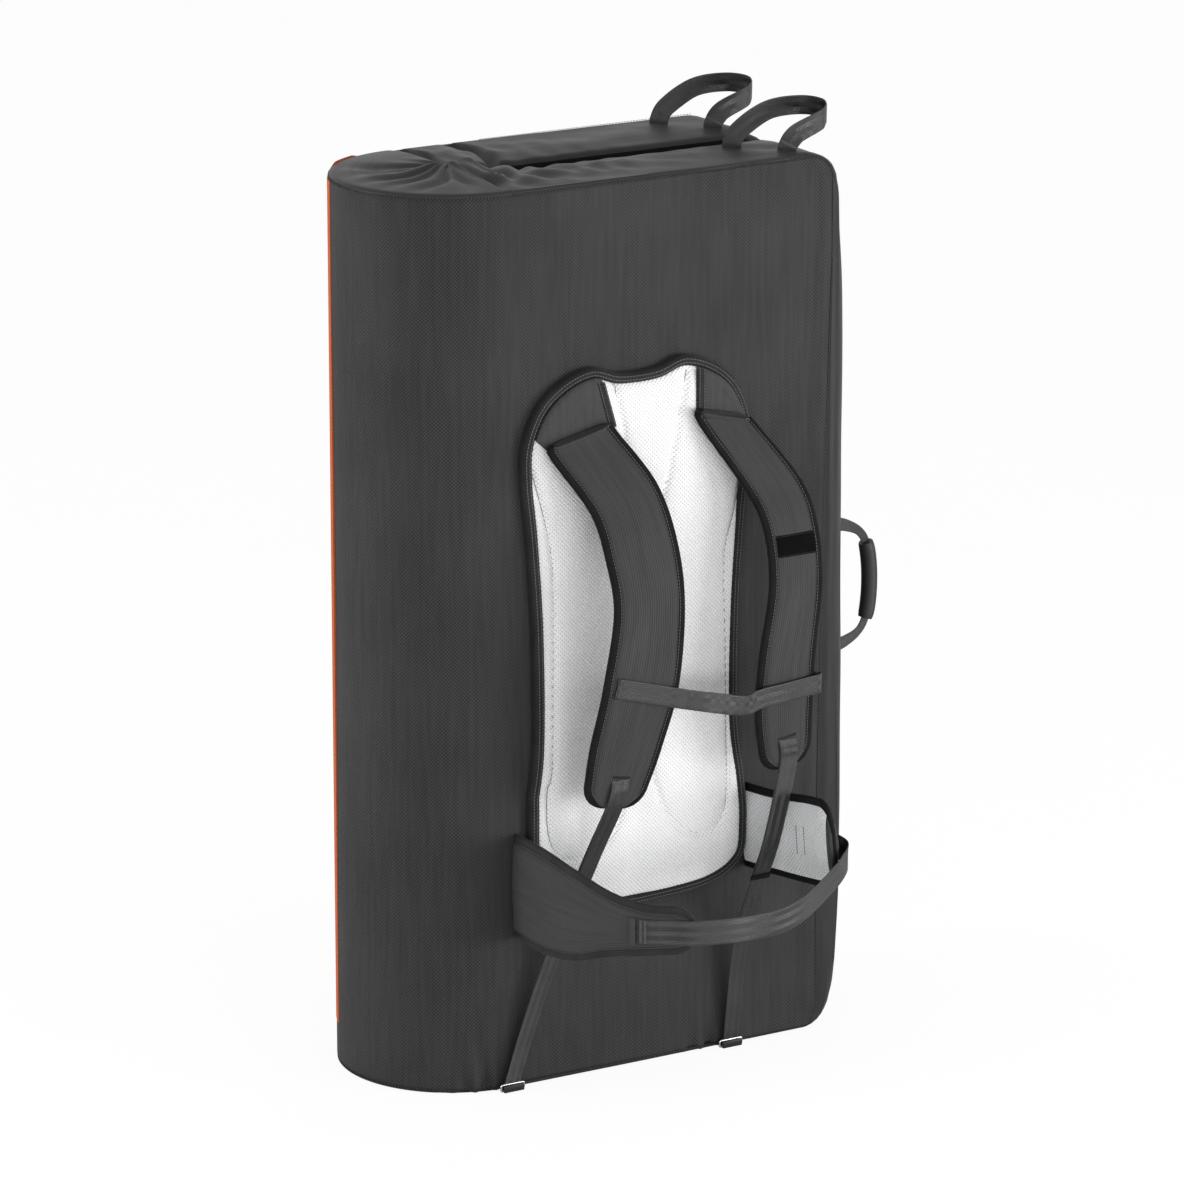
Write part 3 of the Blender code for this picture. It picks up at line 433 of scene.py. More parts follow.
def top_rise(x, y, z, depth, bunch):
    """How far the top of the gusset stands up at a point: tucks, swells, creases and folds."""
    near, bent, run = y < FOLD_Y, x < FOLD_X, max(0.0, x - FOLD_X)
    inward, rim = clamp((depth - 0.006) / 0.05), math.sin(math.pi * min(1.0, depth / DEPTH))
    if bent:
        shape = 0.006 * rim
        turn = math.degrees(math.atan2(FOLD_X - x, FOLD_Y - y))
        for at, width, deep in TUCKS:
            sway = at + 7 * math.sin(depth * 38 + at)
            shape -= deep * hump(turn - sway, width) * inward * clamp((0.118 - depth) / 0.04, 0.15)
    else:
        fade = math.exp(-run / 0.10) * (1.0 if near else 0.45)
        crease = math.sin((x * 0.9 + (y - FOLD_Y) * 1.5) * 62 + 2.2 * noise.noise(Vector((x, y, z)) * 9))
        crease *= 0.0022 * (1.0 if near else 0.5) * (0.35 + fade)
        shape = (0.006 * fade + crease + 0.003 * noise.noise(Vector((x * 9, y * 16, 3.1)))) * rim
        shape += 0.006 * math.sin(x * 150 + 3 * noise.noise(Vector((x * 12, y * 20, 0)))) * fade * inward
    shape -= 0.004 * clamp((depth - 0.09) / 0.04) * (1.8 if bent else 1.0)
    if y > FOLD_Y + 0.01:
        for at, deep in CROSS_FOLDS:
            fold = hump(x - at - 0.010 * math.sin(depth * 26), 0.0062)
            shape -= deep * fold * clamp((depth - 0.002) / 0.014)
    return shape + bunch * ((0.013 if near else 0.005) + 0.003 * math.sin(x * 190 + y * 90))


for number, (x, y, z) in enumerate(sewn):
    near, bent, run = y < FOLD_Y, x < FOLD_X, max(0.0, x - FOLD_X)
    across = math.hypot(x - FOLD_X, y - FOLD_Y) if bent else abs(y - FOLD_Y)
    depth = OUTER - across
    out = Vector((x - FOLD_X if bent else 0.0, y - FOLD_Y, 0)) / across
    shift = Vector((0, 0, 0))
    over = clamp((z - HEIGHT + 0.016) / 0.012)
    if over > 0 and 0.002 < depth < DEPTH:
        # The gusset bunches up over the slot's inner end and hides it
        ease = clamp((depth - 0.07) / 0.045)
        bunch = ease * ease * (3 - 2 * ease) * hump(run, 0.052)
        shift += out * (-across * 0.78 * bunch * over)
        shift.z += top_rise(x, y, z, depth, bunch) * over
    if depth < 0.004:
        shift += out * (0.0016 * noise.noise(Vector((x * 3.0, y * 3.0, z * 2.2))))
        for at, reach in GATHERS:
            if near and abs(x - at) < reach * 2.4 and z < 0.11:
                pull = hump(x - at, reach) * math.exp(-z / 0.035)
                shift += out * (-0.0075 * pull * (0.6 + math.sin((x - at) * 235 + z * 40)))
        if near and x > 0.2 and 0.03 < z < HEIGHT - 0.03:
            # The foam swells beside the seam
            beside = x - table(SEAM, z)
            shift += out * (0.0022 * hump(abs(beside) - 0.012, 0.007) - 0.0014 * hump(beside + 0.034, 0.014))
        if not bent and z > 0.95:
            drag = math.exp(-(HEIGHT - z) / 0.09) * math.sin((x + z * 0.6) * 70)
            shift += out * (0.0009 * drag * clamp(x / 0.2))
    if x > OPEN_X - 0.012:
        shift.x += 0.0016 * noise.noise(Vector((y * 12, z * 7, 4.0))) - 0.001
    if near:
        shift.x += bulge(x, depth, z)
    pushed[number] += np.array(shift)

# The seam that joins face and gusset is pulled in a little all round
for side in (-1, 1):
    for x, z in walk_round(seams[side]):
        at = index_of.get(key_of((x, FOLD_Y + side * OUTER, z)))
        if at is not None:
            pushed[at] += np.array((0.0, -side * 0.0026, 0.0))
for ring in fold_rings:
    for x, y, z in (ring[0], ring[len(rise) - 1]):
        inward = Vector((FOLD_X - x, FOLD_Y - y, 0)).normalized()
        spot = index_of[key_of((x, y, z))]
        pushed[spot] = sewn[spot] + np.array(inward) * 0.0016

normals = np.zeros_like(pushed)
for ids in quads:
    a, b, c, d = (pushed[ids[k % len(ids)]] for k in range(4))
    face_normal = np.cross(c - a, d - b)
    for k in ids:
        normals[k] += face_normal
normals /= np.maximum(np.linalg.norm(normals, axis=1, keepdims=True), 1e-12)


def body(name, vertices, faces, corner_uvs, materials, indices=None, corner_normals=None):
    """A mesh object with a UV map in metres."""
    mesh = bpy.data.meshes.new(name)
    mesh.from_pydata([tuple(v) for v in vertices], [], faces)
    layer = mesh.uv_layers.new(name="cloth")
    flat = [value for face in corner_uvs for pair in face for value in pair]
    layer.data.foreach_set("uv", np.array(flat, np.float32))
    for material in materials:
        mesh.materials.append(material)
    if indices is not None:
        mesh.polygons.foreach_set("material_index", np.array(indices, np.int32))
    mesh.shade_smooth()
    if corner_normals is not None:
        mesh.normals_split_custom_set([tuple(n) for n in corner_normals])
    return linked(name, mesh)


def cut_piece(name, owner):
    """Takes one stretch of the skin and closes its cut ends."""
    chosen = [k for k, value in enumerate(owners) if value == owner]
    used = sorted({i for k in chosen for i in quads[k]})
    number = {old: new for new, old in enumerate(used)}
    faces = [[number[i] for i in quads[k]] for k in chosen]
    spots = pushed[used]
    smooth = normals[used]
    corner_normals = [smooth[i] for face in faces for i in face]
    corner_uvs = [uvs[k] for k in chosen]
    indices = [cloths[k] for k in chosen]
    for section in (sections[k] for k in (owner - 1, owner) if k in sections):
        ring = [number[i] for i in section]
        points = spots[ring]
        flat = np.cross(points, np.roll(points, -1, axis=0)).sum(0)
        flat /= np.linalg.norm(flat)
        if np.dot(flat, points.mean(0) - spots.mean(0)) < 0:
            ring.reverse()
            flat = -flat
        faces.append(ring)
        corner_normals += [flat] * len(ring)
        corner_uvs.append([(spots[i][0], spots[i][2]) for i in ring])
        indices.append(1)
    return body(name, spots, faces, corner_uvs, [ballistic, gusset, landing], indices, corner_normals)


def dress(piece, body, slot, *replaced, fill=None):
    """The body that a piece rides and the solids that it replaces; its colour slot and how full it is are not
    used.
    """
    if body:
        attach(piece, body)
    if replaced:
        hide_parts(*replaced)


def over_bend(piece):
    """Bakes a piece's placing into its mesh."""
    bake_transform(piece)


for half, owner in (("near", 0), ("far", 6)):
    solids = [f"{half}_{layer}" for layer in ("foam", "closed_cell_sheet", "outer_cover", "landing_cover")]
    dress(cut_piece(half + "_pad", owner), half + "_half", "dark_ballistic_cloth", *solids, fill=0.95)
for number in range(1, 6):
    piece = cut_piece(f"fold_pad_{number}", number)
    over_bend(piece)
    solids = [f"fold_foam_{number}", f"fold_cover_{number}"] if number < 5 else []
    dress(piece, None, "dark_ballistic_cloth", *solids, fill=0.9)


# Seams of the pad
# Face and gusset are joined by a lockstitched seam whose threads show as short ticks across it; a close row
# of thick black thread along the seam's groove is painted shadow, drawing the groove's shade as a dark line.
# One more row of topstitching holds the gusset's edge near the open end.
def taken(source, name):
    """The evaluated geometry of an object as a plain mesh object; the source is removed."""
    graph = bpy.context.evaluated_depsgraph_get()
    mesh = bpy.data.meshes.new_from_object(source.evaluated_get(graph))
    old = source.data
    bpy.data.objects.remove(source)
    bpy.data.meshes.remove(old)
    mesh.name = name
    return linked(name, mesh)


stitches = bpy.data.node_groups.new("row_of_stitches", "GeometryNodeTree")
stitches.interface.new_socket("Path", in_out="INPUT", socket_type="NodeSocketGeometry")
for label, kind, value in (("Spacing", "NodeSocketFloat", 0.004),
                           ("Stitch length", "NodeSocketFloat", 0.0028),
                           ("Thread radius", "NodeSocketFloat", 0.0004), ("Turn", "NodeSocketFloat", 0.0)):
    stitches.interface.new_socket(label, in_out="INPUT", socket_type=kind).default_value = value
stitches.interface.new_socket("Thread", in_out="INPUT", socket_type="NodeSocketMaterial")
stitches.interface.new_socket("Stitches", in_out="OUTPUT", socket_type="NodeSocketGeometry")
given = add_node(stitches, "NodeGroupInput")
line = add_node(stitches, "GeometryNodeMeshToCurve", {0: given.outputs["Path"]})
even = add_node(stitches, "GeometryNodeResampleCurve", {"Curve": line, "Length": given.outputs["Spacing"]},
                mode="LENGTH")
tangent = add_node(stitches, "GeometryNodeInputTangent")
away = add_node(stitches, "GeometryNodeInputNamedAttribute", {"Name": "away"}, data_type="FLOAT_VECTOR")
aim = add_node(stitches, "FunctionNodeAlignRotationToVector", {"Vector": tangent}, axis="X")
aim = add_node(stitches, "FunctionNodeAlignRotationToVector", {"Rotation": aim, "Vector": away}, axis="Z",
               pivot_axis="X")
spin = add_node(stitches, "FunctionNodeAxisAngleToRotation",
                {"Axis": (0, 0, 1), "Angle": given.outputs["Turn"]})
aim = add_node(stitches, "FunctionNodeRotateRotation", {0: aim, 1: spin}, rotation_space="LOCAL")
reach = add_node(stitches, "ShaderNodeMath", {0: given.outputs["Stitch length"], 1: 0.5},
                 operation="MULTIPLY")
behind = add_node(stitches, "ShaderNodeMath", {0: reach, 1: -1.0}, operation="MULTIPLY")
tail_end = add_node(stitches, "ShaderNodeCombineXYZ", {0: behind})
head_end = add_node(stitches, "ShaderNodeCombineXYZ", {0: reach})
bar = add_node(stitches, "GeometryNodeCurvePrimitiveLine", {"Start": tail_end, "End": head_end})
ring = add_node(stitches, "GeometryNodeCurvePrimitiveCircle",
                {"Resolution": 6, "Radius": given.outputs["Thread radius"]})
thread_bar = add_node(stitches, "GeometryNodeCurveToMesh", {"Curve": bar, "Profile Curve": ring,
                                                            "Fill Caps": True})
placed = add_node(stitches, "GeometryNodeInstanceOnPoints", {"Points": even, "Instance": thread_bar,
                                                             "Rotation": aim})
solid = add_node(stitches, "GeometryNodeRealizeInstances", {0: placed})
painted = add_node(stitches, "GeometryNodeSetMaterial",
                   {"Geometry": solid, "Material": given.outputs["Thread"]})
add_node(stitches, "NodeGroupOutput", {"Stitches": painted})


def plain_material(name, dark, light, scale, roughness, metallic=0.0, bump=0.1):
    """A moulded, metal or thread finish that reads object coordinates: fine grain over two close tones."""
    made, tree = new_material(name)
    where = add_node(tree, "ShaderNodeTexCoord")
    grain = add_node(tree, "ShaderNodeTexNoise",
                     {"Vector": where.outputs["Object"], "Scale": scale, "Detail": 4.0})
    share = add_node(tree, "ShaderNodeMapRange", {0: grain, 1: 0.3, 2: 0.7})
    return finish_material(made, share, dark, light, (roughness, 0.05), (grain, bump, 0.0003),
                           {"Metallic": metallic})


# Bonded nylon thread, black and grey: twisted, with a slight shine
black_thread = plain_material("black_bonded_thread", "#121213", "#232324", 900.0, 0.55)
grey_thread = plain_material("grey_bonded_thread", "#55565a", "#6c6d70", 900.0, 0.5)


def stitch_row(name, body, points, away, spacing=0.004, length=0.0028, radius=0.0004, turn=0.0,
               thread=black_thread, close=False):
    """Stitches along points, riding a body; away is the surface's direction there, one or a list."""
    aways = away if isinstance(away, list) else [away] * len(points)
    mesh = bpy.data.meshes.new(name)
    edges = [(n, n + 1) for n in range(len(points) - 1)]
    if close:
        edges.append((len(points) - 1, 0))
    mesh.from_pydata([tuple(p) for p in points], edges, [])
    layer = mesh.attributes.new("away", "FLOAT_VECTOR", "POINT")
    layer.data.foreach_set("vector", np.array([tuple(a) for a in aways], np.float32).ravel())
    made = linked(name + "_path", mesh)
    sewn = made.modifiers.new("stitches", "NODES")
    sewn.node_group = stitches
    values = {"Spacing": spacing, "Stitch length": length, "Thread radius": radius, "Turn": turn,
              "Thread": thread}
    for item in stitches.interface.items_tree:
        if item.in_out == "INPUT" and item.name in values:
            sewn[item.identifier] = values[item.name]
    made = taken(made, name)
    if body:
        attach(made, body)
    return made


# Threads that show as ticks across a seam
TICK = dict(spacing=0.0042, length=0.0046, radius=0.00042, turn=math.pi / 2)
ACROSS_X, UPRIGHT = Vector((1, 0, 0)), Vector((0, 0, 1))
for side, half in ((-1, "near"), (1, "far")):
    bottom, column, top = seams[side]
    line = [bottom(u) for u in np.linspace(first, 1, 40)] + [column(v) for v in np.linspace(0, 1, 120)[1:-1]]
    line += [top(u) for u in np.linspace(1, first, 40)]
    away, body_name = Vector((0, side, 0)), half + "_half"
    on_face = [(x, FOLD_Y + side * (OUTER - 0.0002), z) for x, z in line]
    stitch_row(half + "_seam_threads", body_name, on_face, away, **TICK)
    # Painted shadow: a close row of thick black thread along the bottom of the seam's groove draws the
    # groove's shade as a dark line
    groove = [(x, FOLD_Y + side * (OUTER - 0.0014), z) for x, z in line]
    stitch_row(half + "_seam_shadow_line", body_name, groove, away, spacing=0.003, length=0.0034, radius=0.0009)
    edge = [(x, FOLD_Y + side * (OUTER - 0.0035), z + 0.0052)
            for x, z in (line[-18:] if side < 0 else line[-40:-11])]
    stitch_row(half + "_topstitching", body_name, edge, UPRIGHT, spacing=0.0045, length=0.003,
               thread=grey_thread)
    turned = []
    for z in np.linspace(0.085, 1.085, 60):
        beyond = OPEN_X - table(BROW, z)
        x, depth = table(BROW, z) + 0.5 * beyond, beyond * 0.134
        x += bulge(x, depth, z) if side < 0 else 0.0
        turned.append((x - 0.0014, FOLD_Y + side * (OUTER - depth), z))
    stitch_row(half + "_turn_stitches", body_name, turned, Vector((0.5, side * 0.87, 0)), spacing=0.0045,
               length=0.0034, radius=0.0005)

for number in range(1, 6):
    turns = {1: (-3, 22.5), 5: (157.5, 183)}.get(number, (45 * number - 67.5, 45 * number - 22.5))
    for mark, z in (("a", ARRIS), ("b", HEIGHT - ARRIS)):
        points, aways = [], []
        for turn in np.linspace(*turns, 24):
            angle = math.radians(270 - min(180.0, max(0.0, turn)))
            lead = (max(0.0, -turn) + max(0.0, turn - 180)) / 3 * CHUNK
            aways.append(Vector((math.cos(angle), math.sin(angle), 0)))
            points.append(Vector((FOLD_X + lead, FOLD_Y, z)) + aways[-1] * (OUTER - 0.0002))
        over_bend(stitch_row(f"fold_seam_threads_{number}{mark}", None, points, aways, **TICK))


# Outer panel
# The far side and the last part of the bend carry a bright panel of the same heavy cloth, sewn flat
# on the cover; only its edge shows from the harness side.
def tidied(made, sharp):
    """Joins doubled points, turns the faces outwards and marks the sharp edges."""
    bm = bmesh.new()
    bm.from_mesh(made.data)
    bmesh.ops.remove_doubles(bm, verts=bm.verts, dist=0.00001)
    bmesh.ops.recalc_face_normals(bm, faces=bm.faces)
    bm.to_mesh(made.data)
    bm.free()
    made.data.shade_smooth()
    made.data.set_sharp_from_angle(angle=math.radians(sharp))
    return made


def skin_of(name, rings, surface, caps=True, shift=0.0):
    """A skin over rings of points, with UVs in metres: round the ring, then along."""
    count = len(rings[0])
    around = [walk + shift for walk in depth_walk([*rings[0], rings[0][0]])]
    along = depth_walk([sum((Vector(p) for p in ring), Vector()) / count for ring in rings])
    faces, corner_uvs = [], []
    for row in range(len(rings) - 1):
        for k in range(count):
            spots = ((k, row), (k + 1, row), (k + 1, row + 1), (k, row + 1))
            faces.append([level * count + a % count for a, level in spots])
            corner_uvs.append([(around[a], along[level]) for a, level in spots])
    if caps:
        for row, order in ((0, -1), (len(rings) - 1, 1)):
            ids = list(range(row * count, (row + 1) * count))[::order]
            faces.append(ids)
            corner_uvs.append([(around[i % count], along[row]) for i in ids])
    vertices = [tuple(point) for ring in rings for point in ring]
    return tidied(body(name, vertices, faces, corner_uvs, [surface]), 50)


# Orange ballistic nylon, a little clouded by wear
orange = cloth_material("orange_ballistic_nylon", "#b1441b", "#cd692e", 0.0048, 0.6, sheen=0.06, bump=0.5,
                        streak=0.08)
PANEL_LOW, PANEL_HIGH, PANEL_START, PANEL_CLOTH = 0.055, 1.163, 107.5, 0.0012


def panel_rings(stations):
    """Rings of the panel's thin section at stations given as centre and outward direction."""
    rings = []
    for centre, out in stations:
        low_z = centre.z
        rise_at = (max(0.0, 1 - abs(math.degrees(math.atan2(-out.x, -out.y)) - 148) / 22)
                   if out.x < -0.01 else 0.0)
        high_z = PANEL_HIGH + 0.0085 * min(1.0, 1.6 * rise_at)
        ring = []
        heights = np.linspace(low_z + 0.002, high_z - 0.002, 60)
        ring += [(0.0, low_z), (PANEL_CLOTH * 0.8, low_z + 0.0004)] + [(PANEL_CLOTH, z) for z in heights]
        ring += [(PANEL_CLOTH * 0.8, high_z - 0.0004), (0.0, high_z)]
        ring += [(-0.0022, z) for z in reversed(heights)]
        rings.append([Vector((centre.x, centre.y, z)) + out * lift for lift, z in ring])
    return rings


for number, (begin, stop) in ((3, (PANEL_START, 112.5)), (4, (112.5, 157.5)), (5, (157.5, 180.0))):
    stations = []
    for turn in np.linspace(begin, stop, 5 if number == 3 else 25):
        angle = math.radians(270 - turn)
        out = Vector((math.cos(angle), math.sin(angle), 0))
        stations.append((Vector((FOLD_X, FOLD_Y, PANEL_LOW)) + out * OUTER, out))
    if number == 5:
        stations.append((Vector((FOLD_X + CHUNK, FOLD_Y + OUTER, PANEL_LOW)), Vector((0, 1, 0))))
    piece = skin_of(f"orange_panel_fold_{number}", panel_rings(stations), orange, shift=(number - 3) * 0.2)
    over_bend(piece)
    dress(piece, None, "orange_cloth", *([f"fold_panel_{number}"] if number < 5 else []))
stations = []
for x in (list(np.linspace(FOLD_X + CHUNK, 0.262, 40))
          + [0.262 + 0.03 * math.sin(a) for a in np.radians([20, 40, 60, 75, 90])]):
    lift = 0.03 * (1 - math.sqrt(max(0.0, 1 - ((x - 0.262) / 0.03) ** 2))) if x > 0.262 else 0.0
    stations.append((Vector((x, FOLD_Y + OUTER, PANEL_LOW + lift)), Vector((0, 1, 0))))
piece = skin_of("orange_panel_far", panel_rings(stations), orange)
dress(piece, "far_half", "orange_cloth", "far_outer_panel")


# Back panel
# White knitted spacer mesh over foam, quilted into two long pads with a channel between them, and a
# dark woven border all round that is sewn to the cover with two rows of stitches.
FACE, TOWARDS = FOLD_Y - OUTER, Vector((0, -1, 0))
PANEL_SHARES = [
    (0.0, 0.982), (0.18, 0.985), (0.405, 1.0), (0.655, 0.982), (0.863, 0.942), (0.985, 0.88),
    (1.0, 0.81), (0.952, 0.70), (0.905, 0.53), (0.900, 0.32), (0.965, 0.205), (0.99, 0.125),
    (0.94, 0.052), (0.63, 0.011), (0.0, 0.0),
]
HALF_PANEL, PANEL_TALL, PANEL_BASE, PANEL_MIDDLE = 0.168, 0.714, 0.221, 0.005
BORDER, BORDER_THICK, MESH_RIM, MESH_CROWN = 0.013, 0.0155, 0.012, 0.006


def smooth_path(points, steps):
    """Points on a smooth curve through the given ones."""
    ends = [points[0], *points, points[-1]]
    path = []
    for a, b, c, d in zip(ends, ends[1:], ends[2:], ends[3:]):
        for step in range(steps):
            t = step / steps
            path.append(tuple(0.5 * (2 * q + (r - p) * t + (2 * p - 5 * q + 4 * r - s) * t * t
                                     + (3 * q - p - 3 * r + s) * t ** 3)
                              for p, q, r, s in zip(a, b, c, d)))
    path.append(tuple(points[-1]))
    return path


def panel_place(across, up):
    """Place on the panel from shares of its half width and height."""
    return Vector((PANEL_MIDDLE + across * HALF_PANEL, PANEL_BASE + up * PANEL_TALL))


right_side = smooth_path(PANEL_SHARES, 12)
# Behind the left wing the border keeps clear of the wing's hinge line
left_side = [(-min(a, 0.945) if u < 0.25 else -a, u) for a, u in reversed(right_side[1:-1])]
outline_points = [panel_place(a, u) for a, u in right_side + left_side]


def inset(points, distance):
    """A closed outline moved inwards."""
    moved = []
    for k, point in enumerate(points):
        along = (points[(k + 1) % len(points)] - points[k - 1]).normalized()
        moved.append(point + Vector((along.y, -along.x)) * distance)
    return moved


def knit_material(name, dark, light, hole, pitch):
    """Spacer mesh that reads its UV map in metres: small holes set on the diagonal, over soft loops."""
    made, tree = new_material(name)
    uv = add_node(tree, "ShaderNodeUVMap", uv_map="cloth")
    split = add_node(tree, "ShaderNodeSeparateXYZ", {0: uv})
    waves = []
    for slant in ("ADD", "SUBTRACT"):
        diagonal = add_node(tree, "ShaderNodeMath", {0: split, 1: split.outputs[1]}, operation=slant)
        waves.append(ribs(tree, diagonal, pitch, "COSINE"))
    both = add_node(tree, "ShaderNodeMath", {0: waves[0], 1: waves[1]}, operation="ADD")
    holes = add_node(tree, "ShaderNodeMapRange", {0: both, 1: 0.7, 2: 1.7}, interpolation_type="SMOOTHSTEP")
    cloud = clouds(tree, uv, 14.0, 2.0)
    ground = add_node(tree, "ShaderNodeMix", {0: cloud, 6: linear(dark), 7: linear(light)}, data_type="RGBA")
    colour = add_node(tree, "ShaderNodeMix", {0: holes, 6: ground.outputs[2], 7: linear(hole)},
                      data_type="RGBA")
    raised = add_node(tree, "ShaderNodeMath", {0: 1.0, 1: both}, operation="SUBTRACT")
    relief = add_node(tree, "ShaderNodeBump", {"Height": raised, "Strength": 0.5, "Distance": 0.0007})
    set_inputs(tree, tree.nodes["Principled BSDF"],
               {"Base Color": colour.outputs[2], "Normal": relief, "Roughness": 0.85, "Sheen Weight": 0.2,
                "Specular IOR Level": 0.2})
    return made


# White polyester spacer mesh. Its holes are about 2 mm apart, drawn at 4 mm so that they show.
white_mesh = knit_material("white_spacer_mesh", "#eeeeee", "#f6f6f6", "#c6c8ca", 0.0056)
grey_mesh = knit_material("grey_spacer_mesh", "#e4e6e7", "#eff0f1", "#b0b3b6", 0.0056)
# Quilting seams of the mesh, left and right pad, as shares of the panel
LEFT_QUILT = [
    (-0.93, 0.83), (-0.837, 0.755), (-0.76, 0.672), (-0.743, 0.597), (-0.745, 0.45), (-0.754, 0.282),
    (-0.798, 0.241), (-0.799, 0.178), (-0.746, 0.133), (-0.623, 0.107), (-0.45, 0.108), (-0.261, 0.134),
    (-0.154, 0.183), (-0.11, 0.26), (-0.12, 0.40), (-0.16, 0.55), (-0.17, 0.70), (-0.13, 0.864),
    (-0.176, 0.92), (-0.211, 0.972),
]
RIGHT_QUILT = [
    (0.42, 0.972), (0.377, 0.922), (0.316, 0.851), (0.247, 0.78), (0.186, 0.727), (0.12, 0.60),
    (0.09, 0.45), (0.095, 0.33), (0.121, 0.249), (0.193, 0.19), (0.311, 0.142), (0.5, 0.116),
    (0.663, 0.117), (0.771, 0.147), (0.796, 0.197), (0.79, 0.30), (0.78, 0.45), (0.766, 0.622),
    (0.845, 0.70), (0.897, 0.761), (0.932, 0.80),
]
quilts = [smooth_path([tuple(panel_place(a, u)) for a, u in rows], 10) for rows in (LEFT_QUILT, RIGHT_QUILT)]
quilt_points = np.array([point for line in quilts for point in line])

rim = inset(outline_points, BORDER - 0.001)
corner_at = [4 * 12, 12 * 12]
count = len(rim)
top_row = [rim[k % count] for k in range(count - corner_at[0], count + corner_at[0] + 1)]
right_row = [rim[k] for k in range(corner_at[1], corner_at[0] - 1, -1)]
bottom_row = [rim[k] for k in range(count - corner_at[1], corner_at[1] - 1, -1)]
left_row = [rim[k] for k in range(count - corner_at[1], count - corner_at[0] + 1)]


def even_line(points, number):
    """A line's points spread evenly."""
    walk = np.concatenate([[0.0], np.cumsum([(b - a).length for a, b in zip(points, points[1:])])])
    places_at = np.linspace(0, walk[-1], number)
    return [Vector((float(np.interp(p, walk, [q[0] for q in points])),
                    float(np.interp(p, walk, [q[1] for q in points]))))
            for p in places_at]


ACROSS, UPWARD = 110, 230
bottom_line, top_line = even_line(bottom_row, ACROSS), even_line(top_row, ACROSS)
left_line, right_line = even_line(left_row, UPWARD), even_line(right_row, UPWARD)
rim_points = np.array([tuple(p) for p in even_line(rim + rim[:1], 1600)])
u, v = np.meshgrid(np.linspace(0, 1, ACROSS), np.linspace(0, 1, UPWARD))
u, v = u[..., None], v[..., None]
low, high, left, right = (np.array([tuple(p) for p in line])
                          for line in (bottom_line, top_line, left_line, right_line))
grid = (1 - v) * low + v * high + (1 - u) * left[:, None] + u * right[:, None]
grid -= (1 - u) * (1 - v) * low[0] + u * (1 - v) * low[-1] + (1 - u) * v * high[0] + u * v * high[-1]
flat_array = grid.reshape(-1, 2)
to_rim = np.array([np.sqrt(((rim_points - p) ** 2).sum(1).min()) for p in flat_array])
to_quilt = np.array([np.sqrt(((quilt_points - p) ** 2).sum(1).min()) for p in flat_array])
swell = np.sqrt(np.clip(1 - (1 - np.clip(to_rim / 0.03, 0, 1)) ** 2, 0, 1))
height = MESH_RIM - 0.001 + (MESH_CROWN + 0.001) * swell
height -= 0.0044 * np.exp(-(to_quilt / 0.0036) ** 2) + 0.0014 * np.exp(-(to_quilt / 0.011) ** 2)
channel = np.exp(-((flat_array[:, 0] - PANEL_MIDDLE) / 0.016) ** 2)
height -= 0.0022 * channel * np.clip((0.62 - flat_array[:, 1]) / 0.12, 0, 1)
vertices = [(x, FACE - up - 0.0003, z) for (x, z), up in zip(flat_array, height)]
faces, corner_uvs = [], []
for i in range(UPWARD - 1):
    for j in range(ACROSS - 1):
        ids = (i * ACROSS + j, i * ACROSS + j + 1, (i + 1) * ACROSS + j + 1, (i + 1) * ACROSS + j)
        faces.append(ids)
        corner_uvs.append([tuple(flat_array[k]) for k in ids])
numbers = np.arange(UPWARD * ACROSS).reshape(UPWARD, ACROSS)
edge_ids = [int(k) for k in (*numbers[0], *numbers[1:, -1], *numbers[-1, -2::-1], *numbers[-2:0:-1, 0])]
base = len(vertices)
vertices += [(vertices[k][0], FACE - 0.0003, vertices[k][2]) for k in edge_ids]
for k in range(len(edge_ids)):
    after = (k + 1) % len(edge_ids)
    faces.append((edge_ids[after], edge_ids[k], base + k, base + after))
    corner_uvs.append([(0.0, 0.0)] * 4)
faces.append(tuple(range(base, base + len(edge_ids))))
corner_uvs.append([(0.0, 0.0)] * len(edge_ids))
piece = tidied(body("back_panel_spacer_mesh", vertices, faces, corner_uvs, [white_mesh]), 60)
dress(piece, "near_half", "white_spacer_mesh", "back_panel_mesh", fill=0.7)
pale_thread = plain_material("pale_grey_thread", "#6c7073", "#85898c", 900.0, 0.6)
for number, line in enumerate(quilts):
    where = [Vector((x, FACE - MESH_RIM - MESH_CROWN + 0.0055, z)) for x, z in line]
    stitch_row(f"quilting_threads_{number + 1}", "near_half", where, TOWARDS, spacing=0.0024, length=0.0023,
               radius=0.0005, thread=pale_thread)


def tape_material(name, dark, light, rib, roughness, sheen, chevron=0.0, bump=0.4, gloss=0.15):
    """Narrow woven tape or webbing that reads its UV map: ribs across, a chevron down the middle if asked."""
    made, tree = new_material(name)
    uv = add_node(tree, "ShaderNodeUVMap", uv_map="cloth")
    split = add_node(tree, "ShaderNodeSeparateXYZ", {0: uv})
    fold_back = add_node(tree, "ShaderNodeMath", {0: split, 1: 0.006}, operation="PINGPONG")
    lean = add_node(tree, "ShaderNodeMath", {0: fold_back, 1: chevron, 2: split.outputs[1]},
                    operation="MULTIPLY_ADD")
    wave, cross = ribs(tree, lean, rib), ribs(tree, split, 0.0022)
    weave = add_node(tree, "ShaderNodeMath", {0: cross, 1: 0.35, 2: wave}, operation="MULTIPLY_ADD")
    share = add_node(tree, "ShaderNodeMapRange", {0: weave, 1: -1.3, 2: 1.3})
    wear = clouds(tree, uv, 30.0, 3.0, -0.35, 0.35)
    tone = add_node(tree, "ShaderNodeMath", {0: share, 1: wear}, operation="ADD", use_clamp=True)
    return finish_material(made, tone, dark, light, (roughness, 0.07), (weave, bump, 0.0004),
                           {"Sheen Weight": sheen, "Sheen Roughness": 0.4, "Specular IOR Level": gloss})


